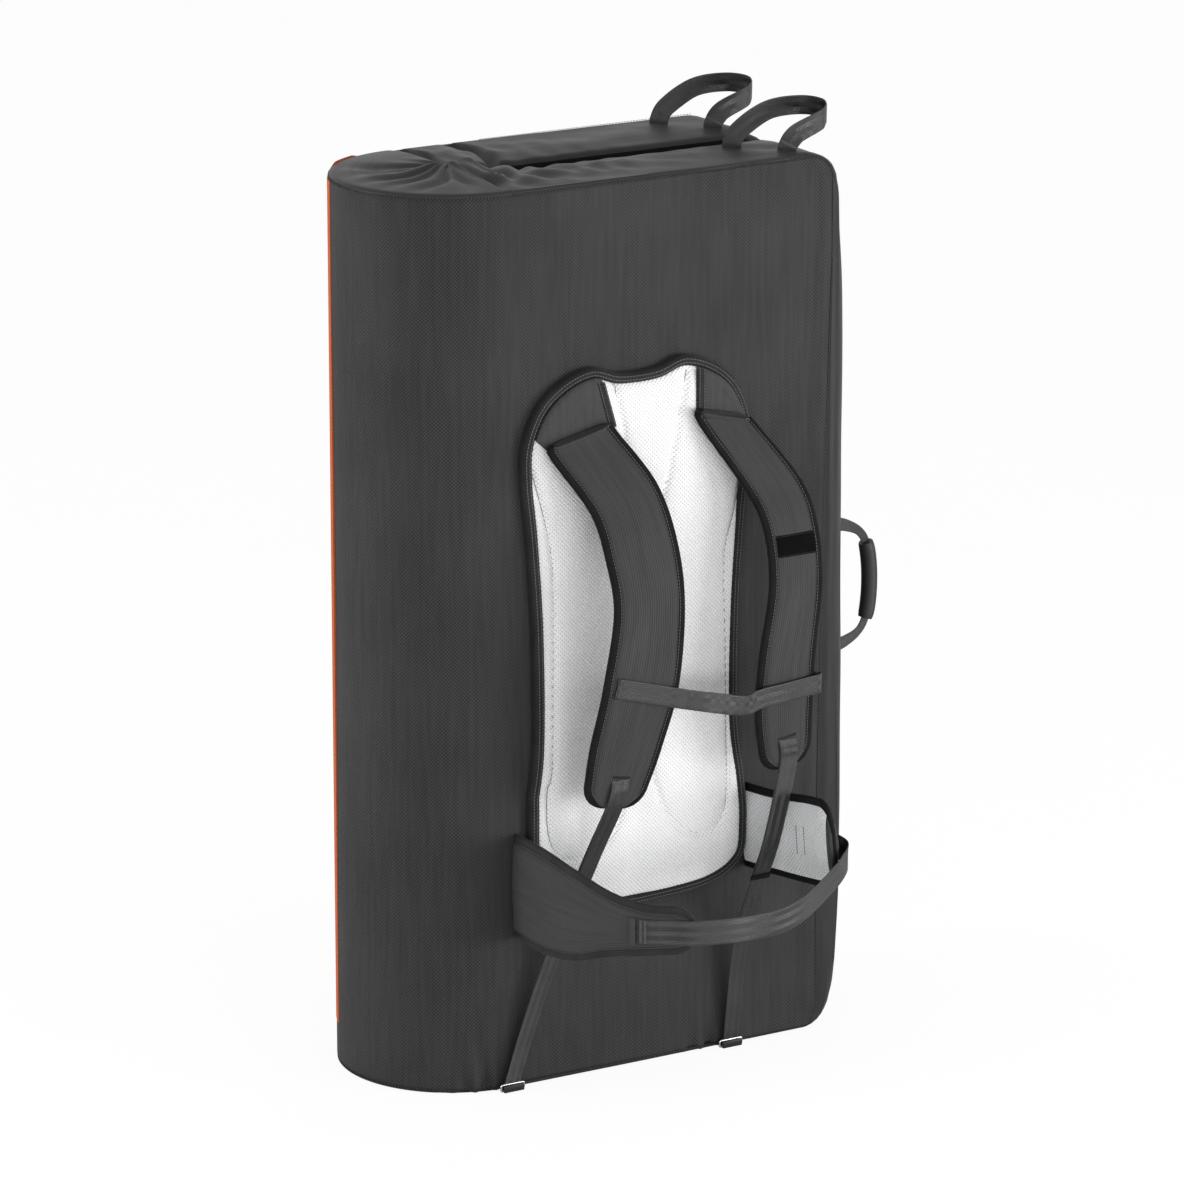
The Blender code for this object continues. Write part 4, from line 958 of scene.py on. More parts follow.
# Woven polyester: the border's tape, the black binding and the webbing; ribs drawn about 2 mm apart
border_tape = tape_material("border_tape", "#202021", "#303031", 0.0024, 0.7, 0.06)
binding = tape_material("black_binding", "#0c0c0d", "#171718", 0.0018, 0.62, 0.02, gloss=0.1)
webbing = tape_material("polyester_webbing", "#0f0f10", "#1f1f20", 0.0026, 0.34, 0.03, chevron=0.8,
                        gloss=0.55)
rings = []
for k in range(count):
    p = outline_points[k]
    along = (outline_points[(k + 1) % count] - outline_points[k - 1]).normalized()
    into = Vector((along.y, -along.x))
    section = [(0.0004, 0.0), (0.0, 0.006), (0.0002, BORDER_THICK - 0.0055), (0.0022, BORDER_THICK - 0.0018),
               (0.005, BORDER_THICK - 0.0004), (0.0075, BORDER_THICK), (0.0105, BORDER_THICK - 0.001),
               (BORDER, BORDER_THICK - 0.0032), (BORDER, 0.0)]
    rings.append([Vector((p.x + into.x * d, FACE - 0.0003 - out, p.y + into.y * d)) for d, out in section])
rings.append(rings[0])
piece = skin_of("back_panel_border_tape", rings, border_tape, caps=False)
dress(piece, "near_half", "black_binding", "back_panel_border")
for number, (distance, sunk) in enumerate(((0.0042, 0.0005), (0.0088, 0.0001))):
    line = [Vector((p.x, FACE - BORDER_THICK + sunk, p.y)) for p in inset(outline_points, distance)]
    stitch_row(f"border_stitches_{number + 1}", "near_half", line, TOWARDS, spacing=0.0042, radius=0.00048,
               thread=grey_thread, close=True)


# Shoulder straps
# Each strap is a curved foam pad in brushed cloth, about 12 mm thick, with black tape folded over its
# edge all round and two lines of stitches; its top is sewn into a flat cloth yoke on the panel.
LEFT_STRAP = [
    (-0.575, 0.889, 0.303, 0.90), (-0.53, 0.868, 0.312, 0.93), (-0.298, 0.776, 0.60, 0.97),
    (-0.232, 0.685, 0.85, 1.0), (-0.22, 0.584, 1.0, 0.98), (-0.292, 0.447, 1.0, 1.06),
    (-0.381, 0.335, 0.88, 1.02), (-0.44, 0.262, 0.80, 0.90), (-0.464, 0.232, 0.77, 0.80),
]
RIGHT_STRAP = [
    (0.68, 0.889, 0.300, 0.78), (0.732, 0.868, 0.307, 0.82), (1.025, 0.758, 0.60, 0.84),
    (1.085, 0.686, 0.85, 0.77), (1.075, 0.587, 1.0, 0.75), (1.005, 0.461, 1.0, 0.80),
    (0.995, 0.363, 0.95, 0.82), (1.035, 0.285, 0.88, 0.74), (1.043, 0.252, 0.85, 0.67),
]
STRAP_WIDTH, STRAP_STANDOFF = 0.103, 0.10
# Surface of a padded band: distance from its edge and height above its middle
PAD_EDGE = [(0.0, 0.0004), (0.0006, 0.0020), (0.002, 0.0027), (0.0065, 0.0029), (0.0085, 0.0036),
            (0.011, 0.0047), (0.0145, 0.0057), (0.019, 0.0062)]
strap_cloth = cloth_material("brushed_strap_cloth", "#2e2e2f", "#454546", 0.0030, 0.68, sheen=0.06, bump=0.35,
                             twill=1.0)


def stations_along(centres, sides, square=True):
    """Place, direction, width's direction and outward direction along a path; sides is one or a list."""
    sides = sides if isinstance(sides, list) else [sides] * len(centres)
    made = []
    for index, centre in enumerate(centres):
        along = (Vector(centres[min(index + 1, len(centres) - 1)])
                 - Vector(centres[max(index - 1, 0)])).normalized()
        side = Vector(sides[index])
        if square:
            side = (side - along * side.dot(along)).normalized()
        made.append((Vector(centre), along, side, along.cross(side).normalized()))
    return made


def pad_rows(reach, start=0):
    """Places across a padded band from edge to edge, each with its height."""
    scale = min(1.0, 0.9 * reach / PAD_EDGE[-1][0])
    edge = [(-reach + d * scale, lift * (0.4 + 0.6 * scale)) for d, lift in PAD_EDGE][start:]
    inner, top = reach - PAD_EDGE[-1][0] * scale, edge[-1][1]
    middle = [(inner * s, top + 0.0008 * scale * (1 - s * s)) for s in np.linspace(-1, 1, 11)[1:-1]]
    return edge + middle + [(-u, lift) for u, lift in reversed(edge)]


def padded_band(name, stations, reaches, surface, start=0, back=1.0, proud=0.0):
    """A padded band: rows of its surface in front and behind; start leaves out the rows next to its edge."""
    rings = []
    for (centre, along, side, out), reach in zip(stations, reaches):
        rows, ring = pad_rows(reach, start), []
        for u, lift in rows:
            spot = centre + side * u
            wave = 0.0006 * noise.noise(spot * 21) * min(1.0, lift / 0.005)
            ring.append(spot + out * (lift + proud + wave))
        rings.append(ring + [centre + side * u - out * (lift * back + proud) for u, lift in reversed(rows)])
    return skin_of(name, rings, surface)


def rounded_tip(stations, reaches, length):
    """Adds stations beyond the last so that a band ends in a round tip."""
    centre, along, side, out = stations[-1]
    turns = [math.radians(a) for a in (14, 28, 42, 56, 68, 79)]
    more = [(centre + along * length * math.sin(a), along, side, out) for a in turns]
    return stations + more, reaches + [reaches[-1] * math.cos(a) ** 0.66 for a in turns]


def edge_line(stations, reaches, depth=0.0, lift=0.0):
    """The line along a band's edge and round its tip, with the surface's directions."""
    lines, pull = [], stations[-1][1] * -depth
    for way in (-1, 1):
        line = [(c + s * way * (r - depth) + o * lift, o) for (c, a, s, o), r in zip(stations, reaches)
                if r > depth]
        lines.append([(p + pull * clamp(1 - (len(line) - 1 - k) / 6), o) for k, (p, o) in enumerate(line)])
    return lines[0] + lines[1][::-1]


def bound_edge(name, line, wide, lift, tape, back=0.0034):
    """Tape folded over an edge."""
    front = [(-wide, lift - 0.0004), (-wide + 0.0003, lift), (-wide * 0.5, lift), (-0.0012, lift * 0.92),
             (0.0004, lift * 0.66), (0.0011, lift * 0.3)]
    behind = [(0.0011, -back * 0.3), (0.0004, -back * 0.66), (-0.0012, -back * 0.92), (-wide * 0.5, -back),
              (-wide + 0.0003, -back), (-wide, -back + 0.0004)]
    section = front + behind
    rings = []
    for index, (place, out) in enumerate(line):
        t = (line[min(index + 1, len(line) - 1)][0] - line[max(index - 1, 0)][0]).normalized()
        o = t.cross(out).normalized()
        rings.append([place + o * u + out * v for u, v in section])
    return skin_of(name, rings, tape)


def strap_stations(table_rows, tilt):
    """Stations along a shoulder strap, its top cut along the yoke's seam."""
    path = smooth_path(table_rows, 16)
    centres = []
    for a, u, out, width in path:
        spot = panel_place(a, u)
        centres.append((spot.x, FACE - out * STRAP_STANDOFF, spot.y))
    plain = stations_along(centres, ACROSS_X)
    seam = Vector((1.0, 0.0, math.tan(math.radians(tilt))))
    sides = [seam.lerp(side, min(1.0, 2 * k / len(plain)))
             for k, (centre, along, side, out) in enumerate(plain)]
    return (stations_along(centres, sides, square=False),
            [width * STRAP_WIDTH / 2 for a, u, out, width in path])


strap_ends, strap_lines = {}, {}
for side, rows, tilt in (("left", LEFT_STRAP, 13.0), ("right", RIGHT_STRAP, -14.0)):
    stations, reaches = strap_stations(rows, tilt)
    strap_lines[side] = (list(stations), list(reaches))
    strap_ends[side] = stations[-1]
    stations, reaches = rounded_tip(stations[:-18], reaches[:-18], 0.034)
    piece = padded_band(f"shoulder_strap_pad_{side}", stations, reaches, strap_cloth)
    dress(piece, "shoulder_harness", "strap_cloth", f"shoulder_strap_{side}", fill=0.85)
    tape = bound_edge(f"shoulder_strap_binding_{side}", edge_line(stations, reaches), 0.0094, 0.0042, binding)
    dress(tape, "shoulder_harness", "black_binding")
    for number, (depth, lift, length) in enumerate(((0.0076, 0.0044, 0.0028), (0.0112, 0.0050, 0.0026))):
        line = edge_line(stations, reaches, depth, lift)
        stitch_row(f"shoulder_strap_stitches_{side}_{number + 1}", "shoulder_harness", [p for p, o in line],
                   [o for p, o in line], spacing=0.0042, length=length,
                   thread=(grey_thread, black_thread)[number])


# Yokes
# Flat pieces of the strap's cloth, doubled, that carry the straps' pull to the panel's top edge. Their
# inner edge is bound with the border's tape; the strap is sewn into the lower one.
LEFT_YOKE = [(-0.33, 0.975), (-0.23, 0.895), (-0.80, 0.862), (-0.90, 0.885), (-0.74, 0.935), (-0.55, 0.965)]
RIGHT_YOKE = [(0.50, 0.972), (0.50, 0.895), (0.94, 0.872), (0.95, 0.90), (0.84, 0.932), (0.64, 0.962)]
yoke_cloth = cloth_material("yoke_cloth", "#323233", "#484849", 0.0036, 0.65, sheen=0.05, bump=0.35)
for side, rows in (("left", LEFT_YOKE), ("right", RIGHT_YOKE)):
    corners = [panel_place(a, u) for a, u in rows]
    way = {"left": -1, "right": 1}[side]
    brim = [p for p in rim if (p.x - corners[0].x) * way > 0 and p.y > corners[3].y]
    brim.sort(key=lambda p: -(p.y - corners[1].y) / ((p.x - corners[1].x) * way + 0.001))
    anchors = [corners[1], corners[2]] + brim[::-1] + [corners[0]]
    middle = sum(corners, Vector((0, 0))) / len(corners)
    dense = []
    for one, two in zip(anchors, anchors[1:] + anchors[:1]):
        count = max(2, int((two - one).length / 0.004) + 1)
        dense += [one.lerp(two, t) for t in np.linspace(0, 1, count)[:-1]]
    vertices, faces, corner_uvs = [], [], []
    steps = [0.0, 0.03, 0.08, 0.16, 0.3, 0.5, 0.7, 0.85, 0.97]
    for step in steps:
        for spot in dense:
            at = spot.lerp(middle, step)
            lift = 0.0180 + 0.0022 * min(1.0, step / 0.10) + 0.0016 * math.sin(math.pi * step)
            lift += 0.0007 * noise.noise(Vector((at.x * 40, at.y * 40, 1)))
            vertices.append((at.x, FACE - lift, at.y))
    ring = len(dense)
    for row in range(len(steps) - 1):
        for k in range(ring):
            after = (k + 1) % ring
            faces.append((row * ring + k, row * ring + after, (row + 1) * ring + after, (row + 1) * ring + k))
    faces.append(tuple(range((len(steps) - 1) * ring, len(steps) * ring)))
    back_ring = len(vertices)
    vertices += [(spot.x, FACE - 0.0140, spot.y) for spot in dense]
    for k in range(ring):
        faces.append((k, (k + 1) % ring, back_ring + (k + 1) % ring, back_ring + k))
    faces.append(tuple(range(back_ring, back_ring + ring)))
    corner_uvs = [[(vertices[i][0], vertices[i][2]) for i in face] for face in faces]
    piece = tidied(body(f"yoke_cloth_{side}", vertices, faces, corner_uvs, [yoke_cloth]), 45)
    dress(piece, "near_half", "strap_cloth", f"yoke_{side}")
    wide, high = (max(values) - min(values) for values in zip(*dense))
    cut = abs(sum(p.cross(q) for p, q in zip(dense, dense[1:] + dense[:1]))) / 2
    inner = [corners[0].lerp(corners[1], t) for t in np.linspace(0.0, 1.02, 16)]
    line = [Vector((spot.x + way * 0.0045, FACE - 0.0205, spot.y)) for spot in inner]
    section = [(-0.0066, -0.0022), (-0.0062, 0.0002), (-0.0045, 0.0014), (0.0, 0.0018), (0.0045, 0.0014),
               (0.0062, 0.0002), (0.0066, -0.0022)]
    rings = [[place + Vector((u, -v, 0)) for u, v in section] for place in line]
    tape = skin_of(f"yoke_binding_{side}", rings, border_tape)
    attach(tape, "near_half")
    for number, shift in enumerate((-0.0035, 0.0035)):
        stitch_row(f"yoke_stitches_{side}_{number + 1}", "near_half",
                   [p + Vector((shift, -0.0019, 0)) for p in line], TOWARDS, length=0.0027, radius=0.00045,
                   thread=grey_thread)
    seam_row = [corners[1].lerp(corners[2], t) for t in np.linspace(0.02, 0.98, 14)]
    stitch_row(f"yoke_seam_stitches_{side}", "near_half",
               [Vector((p.x, FACE - 0.0212, p.y + 0.0022)) for p in seam_row], TOWARDS, spacing=0.0036,
               length=0.0026)


# Label
# A bare damask-woven label, folded under and stitched at its two ends.
label_cloth = tape_material("woven_label_satin", "#050506", "#0c0c0d", 0.0012, 0.7, 0.0, bump=0.15,
                            gloss=0.04)
stations, reaches = strap_lines["right"]
level = panel_place(0.0, 0.658).y
nearest = min(range(len(stations)), key=lambda k: abs(stations[k][0].z - level))
centre, along, side, out = stations[nearest]
side = (ACROSS_X - along * along.x).normalized()
out = along.cross(side)
if out.y > 0:
    out = -out
half_width = reaches[nearest] * 0.72
rings = []
for t in np.linspace(-0.014, 0.014, 12):
    top, under = [], []
    for u in np.linspace(-half_width, half_width, 16):
        edge = min(1.0, (half_width - abs(u)) / 0.002, (0.014 - abs(t)) / 0.0015)
        lift = 0.0070 + 0.0010 * edge - 0.0003 * (u / half_width) ** 2
        spot = centre + along * t + side * u
        top.append(spot + out * lift)
        under.append(spot + out * 0.0062)
    rings.append(top + under[::-1])
piece = skin_of("bare_woven_label", rings, label_cloth)
dress(piece, "shoulder_harness", "woven_label", "label_patch")


def sewn_across(name, body, centre, side, reach, count, away, **look):
    """A straight row of stitches across a band, from -reach to reach."""
    stitch_row(name, body, [centre + side * u for u in np.linspace(-reach, reach, count)], away, **look)


for number, t in enumerate((-0.0125, 0.0125)):
    sewn_across(f"label_stitches_{number + 1}", "shoulder_harness", centre + along * t + out * 0.0077, side,
                half_width * 0.96, 12, out, spacing=0.003, length=0.002, radius=0.0003)


# Sternum strap
# Flat polyester webbing, drawn 26 mm wide: sewn on in front of the left strap and looped round the
# right one. It sags a little between them and ripples.
def ribbon(name, stations, width, surface, thick=0.0016, widths=None, ripple=0.0):
    """Flat webbing along a path, its edges rounded."""
    rings = []
    for k, (centre, along, side, out) in enumerate(stations):
        half = (widths[k] if widths else width) / 2
        t = thick / 2
        upper = [(-half, t * 0.35), (-half + 0.0005, t * 0.9), (-half + 0.0012, t)]
        upper += [(half * s, t) for s in (-0.6, -0.3, 0.0, 0.3, 0.6)]
        upper += [(half - 0.0012, t), (half - 0.0005, t * 0.9), (half, t * 0.35)]
        wave = ripple * noise.noise(Vector((k * 0.35, len(name) * 1.7, 0)))
        rings.append([centre + side * u + out * (v + wave * (1 + 0.5 * u / half)) for u, v in upper]
                     + [centre + side * u + out * (-v + wave * (1 + 0.5 * u / half))
                        for u, v in reversed(upper)])
    return skin_of(name, rings, surface)


def strap_at(side, level):
    """Centre, half width and upward direction of a shoulder strap at one height."""
    stations, reaches = strap_lines[side]
    k = min(range(0, len(stations), 4), key=lambda index: abs(stations[index][0].z - level))
    upward = (stations[max(k - 4, 0)][0] - stations[min(k + 4, len(stations) - 1)][0]).normalized()
    return stations[k][0], reaches[k], upward


STERNUM_WIDTH, STERNUM_SAG = 0.0262, 0.0008
ends, turned = [], []
for side, way, level, lean, near_drop, free_drop in (("left", -1, 0.537, 0.004, 0.018, 0.027),
                                                     ("right", 1, 0.508, -0.006, 0.012, 0.018)):
    (x, y, z), reach, upward = strap_at(side, level)
    behind, front = 0.0085, 0.0098
    outer = reach + 0.0046
    turn = outer - front / 3
    wrap = [(x + way * reach / 4, y + behind, z + lean), (x + way * turn, y + behind, z + lean),
            (x + way * outer, y, z + lean), (x + way * turn, y - front, z + lean),
            (x - way * reach * 0.8, y - front, z - near_drop),
            (x - way * (reach + 0.022), y - front, z - free_drop)]
    if way < 0:
        # The left end is only sewn on in front, next to the binding
        wrap[:4] = [(x - reach * 0.66, y - 0.0052, z + lean), (x - reach * 0.61, y - front, z + lean)]
    ends.append(wrap if way < 0 else wrap[::-1])
    turned.append([tuple(upward)] * len(wrap))
middle = tuple((a + b) / 2 for a, b in zip(ends[0][-1], ends[1][0]))
sag = (middle[0], middle[1], middle[2] - STERNUM_SAG)
path = smooth_path(ends[0] + [sag] + ends[1], 12)
sides = smooth_path(turned[0] + [(0.0, 0.05, 1.0)] + turned[1], 12)
stations = stations_along(path, sides)
piece = ribbon("sternum_webbing", stations, STERNUM_WIDTH, webbing, ripple=0.0014)
dress(piece, "sternum", "dark_webbing", "sternum_strap")


# Lower webbings
# Webbing, drawn 27 to 23 mm wide, that pulls each shoulder strap down to its buckle; it comes out of a
# slot in the strap's tip under a bartack and is doubled as far as the sewn end of its tail.
LEFT_WEBBING = [(-0.46, 0.985, 0.74), (-0.54, 0.80, 0.52), (-0.76, 0.50, 0.27), (-0.97, 0.22, 0.14),
                (-1.10, 0.045, 0.10)]
RIGHT_WEBBING = [(1.08, 0.985, 0.82), (0.93, 0.74, 0.86), (0.87, 0.58, 0.66), (0.88, 0.38, 0.28),
                 (0.86, 0.043, 0.10)]
BUCKLE_TOP, LOWER_WIDTH = 0.0125, 0.027
buckle_places = {}
for side, rows in (("left", LEFT_WEBBING), ("right", RIGHT_WEBBING)):
    top = strap_ends[side][0].z
    points = [(panel_place(a, 0).x, FACE - out * STRAP_STANDOFF, up * top) for a, up, out in rows]
    points[-1] = (points[-1][0], points[-1][1], BUCKLE_TOP + 0.0003)
    buckle_places[side] = points[-1]
    centre, along, across, out = strap_ends[side]
    slot_at = strap_lines[side][0][-22]
    first_points = [tuple(slot_at[0] + slot_at[3] * 0.0030),
                    tuple(slot_at[0] + slot_at[3] * 0.0088 + slot_at[1] * 0.006),
                    tuple(centre + out * 0.0086 + along * 0.004)]
    path = smooth_path(first_points + points[1:], 14)
    stations = stations_along(path, ACROSS_X, square=False)
    narrowed = list(np.linspace(LOWER_WIDTH, 0.0228, len(stations)))
    piece = ribbon(f"lower_webbing_run_{side}", stations, LOWER_WIDTH, webbing, ripple=0.0006,
                   widths=narrowed)
    dress(piece, None, "dark_webbing", f"lower_webbing_{side}")
    parts = [piece]
    stop = 52 if side == "right" else 50
    tail = [(c - o * 0.0022, a, s, o) for c, a, s, o in stations[14:stop]]
    parts.append(ribbon(f"lower_webbing_tail_{side}", tail, 0.0258, webbing, thick=0.0022, ripple=0.0005))
    c, a, s, o = stations[stop]
    bar = [(c + a * t + o * 0.0004, a, s, o) for t in np.linspace(-0.0035, 0.0035, 4)]
    parts.append(ribbon(f"lower_webbing_bartack_{side}", bar, LOWER_WIDTH + 0.0012, binding, thick=0.0034))
    for piece in parts:
        Vector(points[-2])
        Vector(points[0])
        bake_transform(piece)
    c, a, s, o = slot_at
    sewn_across(f"strap_slot_bartack_{side}", "shoulder_harness", c + o * 0.0074 - a * 0.002, s, 0.0125,
                14, o, spacing=0.0013, length=0.0034, radius=0.0005, turn=math.pi / 2)


# Hip belt
# Two padded wings, bound like the straps and lined with spacer mesh, and webbing, drawn 32 mm wide,
# from a bar on the left wing round to the outside of the right one.
WING_ROWS = {
    "left": [(-1.03, 0.0, 1.0), (-1.045, 0.26, 1.0), (-1.02, 0.50, 0.87), (-0.90, 0.70, 0.61),
             (-0.76, 0.845, 0.49), (-0.58, 0.925, 0.45)],
    "right": [(1.02, 0.0, 1.0), (1.09, 0.22, 1.0), (1.14, 0.41, 1.03), (1.14, 0.55, 1.02)],
}
# Each wing's middle height and its width at the root
WING_SIZES = {"left": (0.272, 0.136), "right": (0.298, 0.111)}
BELT_REACH = 0.27
# How far the right wing climbs towards its end
CLIMB = 0.040


def wing_stations(side, steps=15):
    """Stations and half heights along a wing, from its root."""
    path = smooth_path(WING_ROWS[side], steps)
    (level, tall), climb = WING_SIZES[side], CLIMB if side == "right" else 0.0
    centres = [(panel_place(a, 0).x, FACE - 0.0065 - out * BELT_REACH, level + climb * out * out)
               for a, out, share in path]
    return stations_along(centres, UPRIGHT), [share * tall / 2 for a, out, share in path]


wings = {}
for side, inner_way, tip in (("left", -1, 0.027), ("right", 1, 0.026)):
    stations, reaches = wing_stations(side)
    wings[side] = (stations, reaches)
    c, a, s, o = stations[0]
    root = (c + Vector((0, 0.004, 0)), a, s, o)
    stations, reaches = rounded_tip([root] + list(stations), [reaches[0]] + list(reaches), tip)
    piece = padded_band(f"hip_wing_pad_{side}", stations, reaches, strap_cloth)
    dress(piece, f"{side}_wing", "strap_cloth", f"hip_wing_{side}", fill=0.85)
    # Painted light: the left wing's binding, the same black binding as the right's, is drawn in the lighter
    # border tape for the light that falls on that side
    tape = bound_edge(f"hip_wing_binding_{side}", edge_line(stations, reaches), 0.0092, 0.0038,
                      border_tape if side == "left" else binding)
    dress(tape, f"{side}_wing", "black_binding")
    for number, (depth, lift) in enumerate(((0.0072, 0.0040), (0.0112, 0.0050))):
        for face in (1, -1):
            line = edge_line(stations, reaches, depth, face * lift)[2:-2]
            stitch_row(f"hip_wing_stitches_{side}_{number + 1}{'a' if face > 0 else 'b'}", f"{side}_wing",
                       [p for p, q in line], [q * face for p, q in line], spacing=0.0042)
    lined = list(zip(stations, reaches))[1:-3]
    facing = [(c, a, s * inner_way, o * inner_way) for (c, a, s, o), r in lined]
    piece = padded_band(f"hip_lining_mesh_{side}", facing, [r for q, r in lined], grey_mesh, start=4,
                        back=-1.0, proud=0.0009)
    dress(piece, f"{side}_wing", "grey_spacer_mesh", f"hip_lining_{side}")
# Two upright lines of stitches through the right lining, where the webbing is sewn on outside
stations, reaches = wings["right"]
for number, k in enumerate((26, 31)):
    c, a, s, o = stations[k]
    sewn_across(f"lining_stitches_{number + 1}", "right_wing", c + o * 0.0082, s, 0.017, 10, o,
                spacing=0.0035, length=0.0026, radius=0.0005)

BELT = [(-0.09, 1.10, 0.0), (0.34, 1.06, 0.0), (0.84, 0.86, 0.22), (1.245, 0.675, 0.90)]


def beside_wing(side, distance):
    """A wing's path moved to the left of its direction, at the spacing of five steps."""
    return [tuple(c + Vector((-a.y, a.x, 0)) * distance) for c, a, s, o in wing_stations(side, 5)[0]]


left_run, right_run = beside_wing("left", -0.0082)[18:], beside_wing("right", 0.0082)[4:-1]
free_run = [(panel_place(a, 0).x, FACE - out * BELT_REACH, WING_SIZES["left"][0] + up * 0.026)
            for a, out, up in BELT]
c, a, s, o = wings["left"][0][-1]
beyond_tip = tuple(c + a * 0.032 + Vector((a.y, -a.x, 0)) * 0.0095)
path = smooth_path(left_run[::3] + [beyond_tip] + free_run + right_run[::-1][::3], 12)
stations = stations_along(path, UPRIGHT)
piece = ribbon("belt_webbing_run", stations, 0.032, webbing, ripple=0.0007)
dress(piece, "right_wing", "dark_webbing", "belt_webbing")
tail = [(c - o * 0.0025, a, s, o) for c, a, s, o in stations[3:len(stations) // 2]]
piece = ribbon("belt_webbing_layer", tail, 0.0305, webbing, thick=0.0018)
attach(piece, "right_wing")
c, a, s, o = stations[4]
bar = [(c + a * t + o * 0.0022, a, s, o) for t in (-0.0034, -0.003, -0.0015, 0.0015, 0.003, 0.0034)]
piece = ribbon("belt_adjuster_bar", bar, 0.0350,
               plain_material("acetal_plastic", "#2b2b2d", "#39393b", 300.0, 0.3), thick=0.003)
dress(piece, "right_wing", "soft_black_grip", "belt_adjuster")
for number, shift in enumerate((0.010, 0.016)):
    sewn_across(f"belt_bartack_{number + 1}", "right_wing", c + a * shift + o * 0.0010, s, 0.0142, 16, o,
                spacing=0.0014, length=0.0030, turn=math.pi / 2, thread=grey_thread)


# Buckles
# A small frame of bright steel wire at each bottom corner, with a dark lever in front that grips the
# webbing, and a webbing tab sewn into the bottom seam.
polished_steel = plain_material("polished_steel", "#b9bbbd", "#d2d3d5", 120.0, 0.22, metallic=1.0, bump=0.02)
coated_steel = plain_material("black_coated_steel", "#161617", "#222223", 200.0, 0.35, metallic=0.3,
                              bump=0.03)


def wire_ring(name, points, radius, surface, sides=12):
    """A closed ring of round wire."""
    rings, turns = [], [2 * math.pi * step / sides for step in range(sides)]
    for k, point in enumerate(points):
        t = (Vector(points[(k + 1) % len(points)]) - Vector(points[k - 1])).normalized()
        across = t.cross(Vector((0, 1, 0))).normalized()
        up = across.cross(t)
        rings.append([Vector(point) + across * (radius * math.cos(a)) + up * (radius * math.sin(a))
                      for a in turns])
    return skin_of(name, rings + rings[:1], surface, caps=False)


def block(name, low, high, bevel, surface):
    """A block with rounded edges."""
    bm = bmesh.new()
    bmesh.ops.create_cube(bm, size=1.0)
    for vertex in bm.verts:
        vertex.co = Vector([(a + b) / 2 + c * (b - a) for a, b, c in zip(low, high, vertex.co)])
    bmesh.ops.bevel(bm, geom=bm.edges[:], offset=bevel, segments=3, profile=0.5, affect="EDGES")
    mesh = bpy.data.meshes.new(name)
    bm.to_mesh(mesh)
    bm.free()
    mesh.materials.append(surface)
    mesh.shade_smooth()
    mesh.set_sharp_from_angle(angle=math.radians(60))
    return linked(name, mesh)


for side in ("left", "right"):
    x, y, z = buckle_places[side]
    corners = []
    for cx, cz, start in ((0.0134, 0.0095, 0), (-0.0134, 0.0095, 90), (-0.0134, 0.0045, 180),
                          (0.0134, 0.0045, 270)):
        for step in range(6):
            angle = math.radians(start + 90 * step / 5)
            corners.append((x + cx + 0.0032 * math.cos(angle), y, cz + 0.0015 * math.sin(angle)))
    frame_wire = wire_ring(f"buckle_wire_{side}", corners, 0.0015, polished_steel)
    dress(frame_wire, "near_half", "polished_steel", f"buckle_frame_{side}")
    lever = block(f"buckle_lever_plate_{side}", (x - 0.0148, y - 0.0053, 0.0015),
                  (x + 0.0148, y - 0.0023, 0.0105), 0.0011, coated_steel)
    dress(lever, f"{side}_lever", "black_coated_steel", f"buckle_lever_{side}")
    line = [(x, FACE + 0.012, 0.0040), (x, FACE + 0.002, 0.0036), (x, y + 0.0045, 0.0026),
            (x, y + 0.0024, 0.0026)]
    stations = stations_along(smooth_path(line, 5), ACROSS_X)
    tab = ribbon(f"buckle_tab_webbing_{side}", stations, 0.024, webbing)
    dress(tab, "near_half", "dark_webbing", f"buckle_tab_{side}")


# Top loops
# Two hairpins of 25 mm webbing, sewn into the top seams near the open end; both lean towards it.
TOP_LOOP = [
    (0.0, 0.0, 0.05, 1.0, 0.0), (0.10, 0.0, 0.45, 0.8, 0.5), (0.45, 0.0, 0.95, 0.2, 1.0),
    (0.85, 0.0, 1.0, 0.0, 1.0), (1.0, 0.5, 0.95, 0.0, 1.0), (0.85, 1.0, 0.80, 0.0, 1.0),
    (0.52, 1.0, 0.42, 0.4, 0.8), (0.40, 1.0, 0.05, 1.0, 0.0),
]
LOOP_SPAN, LOOP_RISE, LOOP_LEG_GAP, LOOP_START, LOOP_BASE = 0.12, 0.042, 0.055, 0.205, 1.1706
for half, front_y in (("near", FACE + DEPTH * 0.25), ("far", FOLD_Y + OUTER - DEPTH * 0.70)):
    rear = Vector((LOOP_START, front_y + LOOP_LEG_GAP, LOOP_BASE))
    front = Vector((LOOP_START + LOOP_SPAN * 0.40, front_y, LOOP_BASE))
    across = (front - rear).normalized()
    points, leans = [], []
    for along, over, up, forward, down in TOP_LOOP:
        points.append((LOOP_START + along * LOOP_SPAN, rear.y + over * (front.y - rear.y),
                       LOOP_BASE + 0.002 + up * LOOP_RISE))
        leans.append(tuple(across * forward - UPRIGHT * down))
    foot = Vector((0, 0, 0.002))
    path = [tuple(rear - foot * 2), tuple(rear + foot), *smooth_path(points, 14)[1:-1], tuple(front + foot),
            tuple(front - foot * 2)]
    leans = smooth_path(leans, 14)
    leans = [leans[0]] * 2 + leans[1:-1] + [leans[-1]] * 2
    stations = stations_along(path, leans)
    piece = ribbon(f"top_loop_webbing_{half}", stations, 0.025, webbing, ripple=0.0005)
    dress(piece, f"{half}_loop", "dark_webbing", f"top_loop_{half}")
    c, a, s, o = stations[-6]
    for face in (1, -1):
        sewn_across(f"top_loop_bartack_{half}_{'a' if face > 0 else 'b'}", f"{half}_loop",
                    c + o * 0.0010 * face, s, 0.0105, 12, o * face, spacing=0.0013, length=0.0032,
                    turn=math.pi / 2, thread=grey_thread)


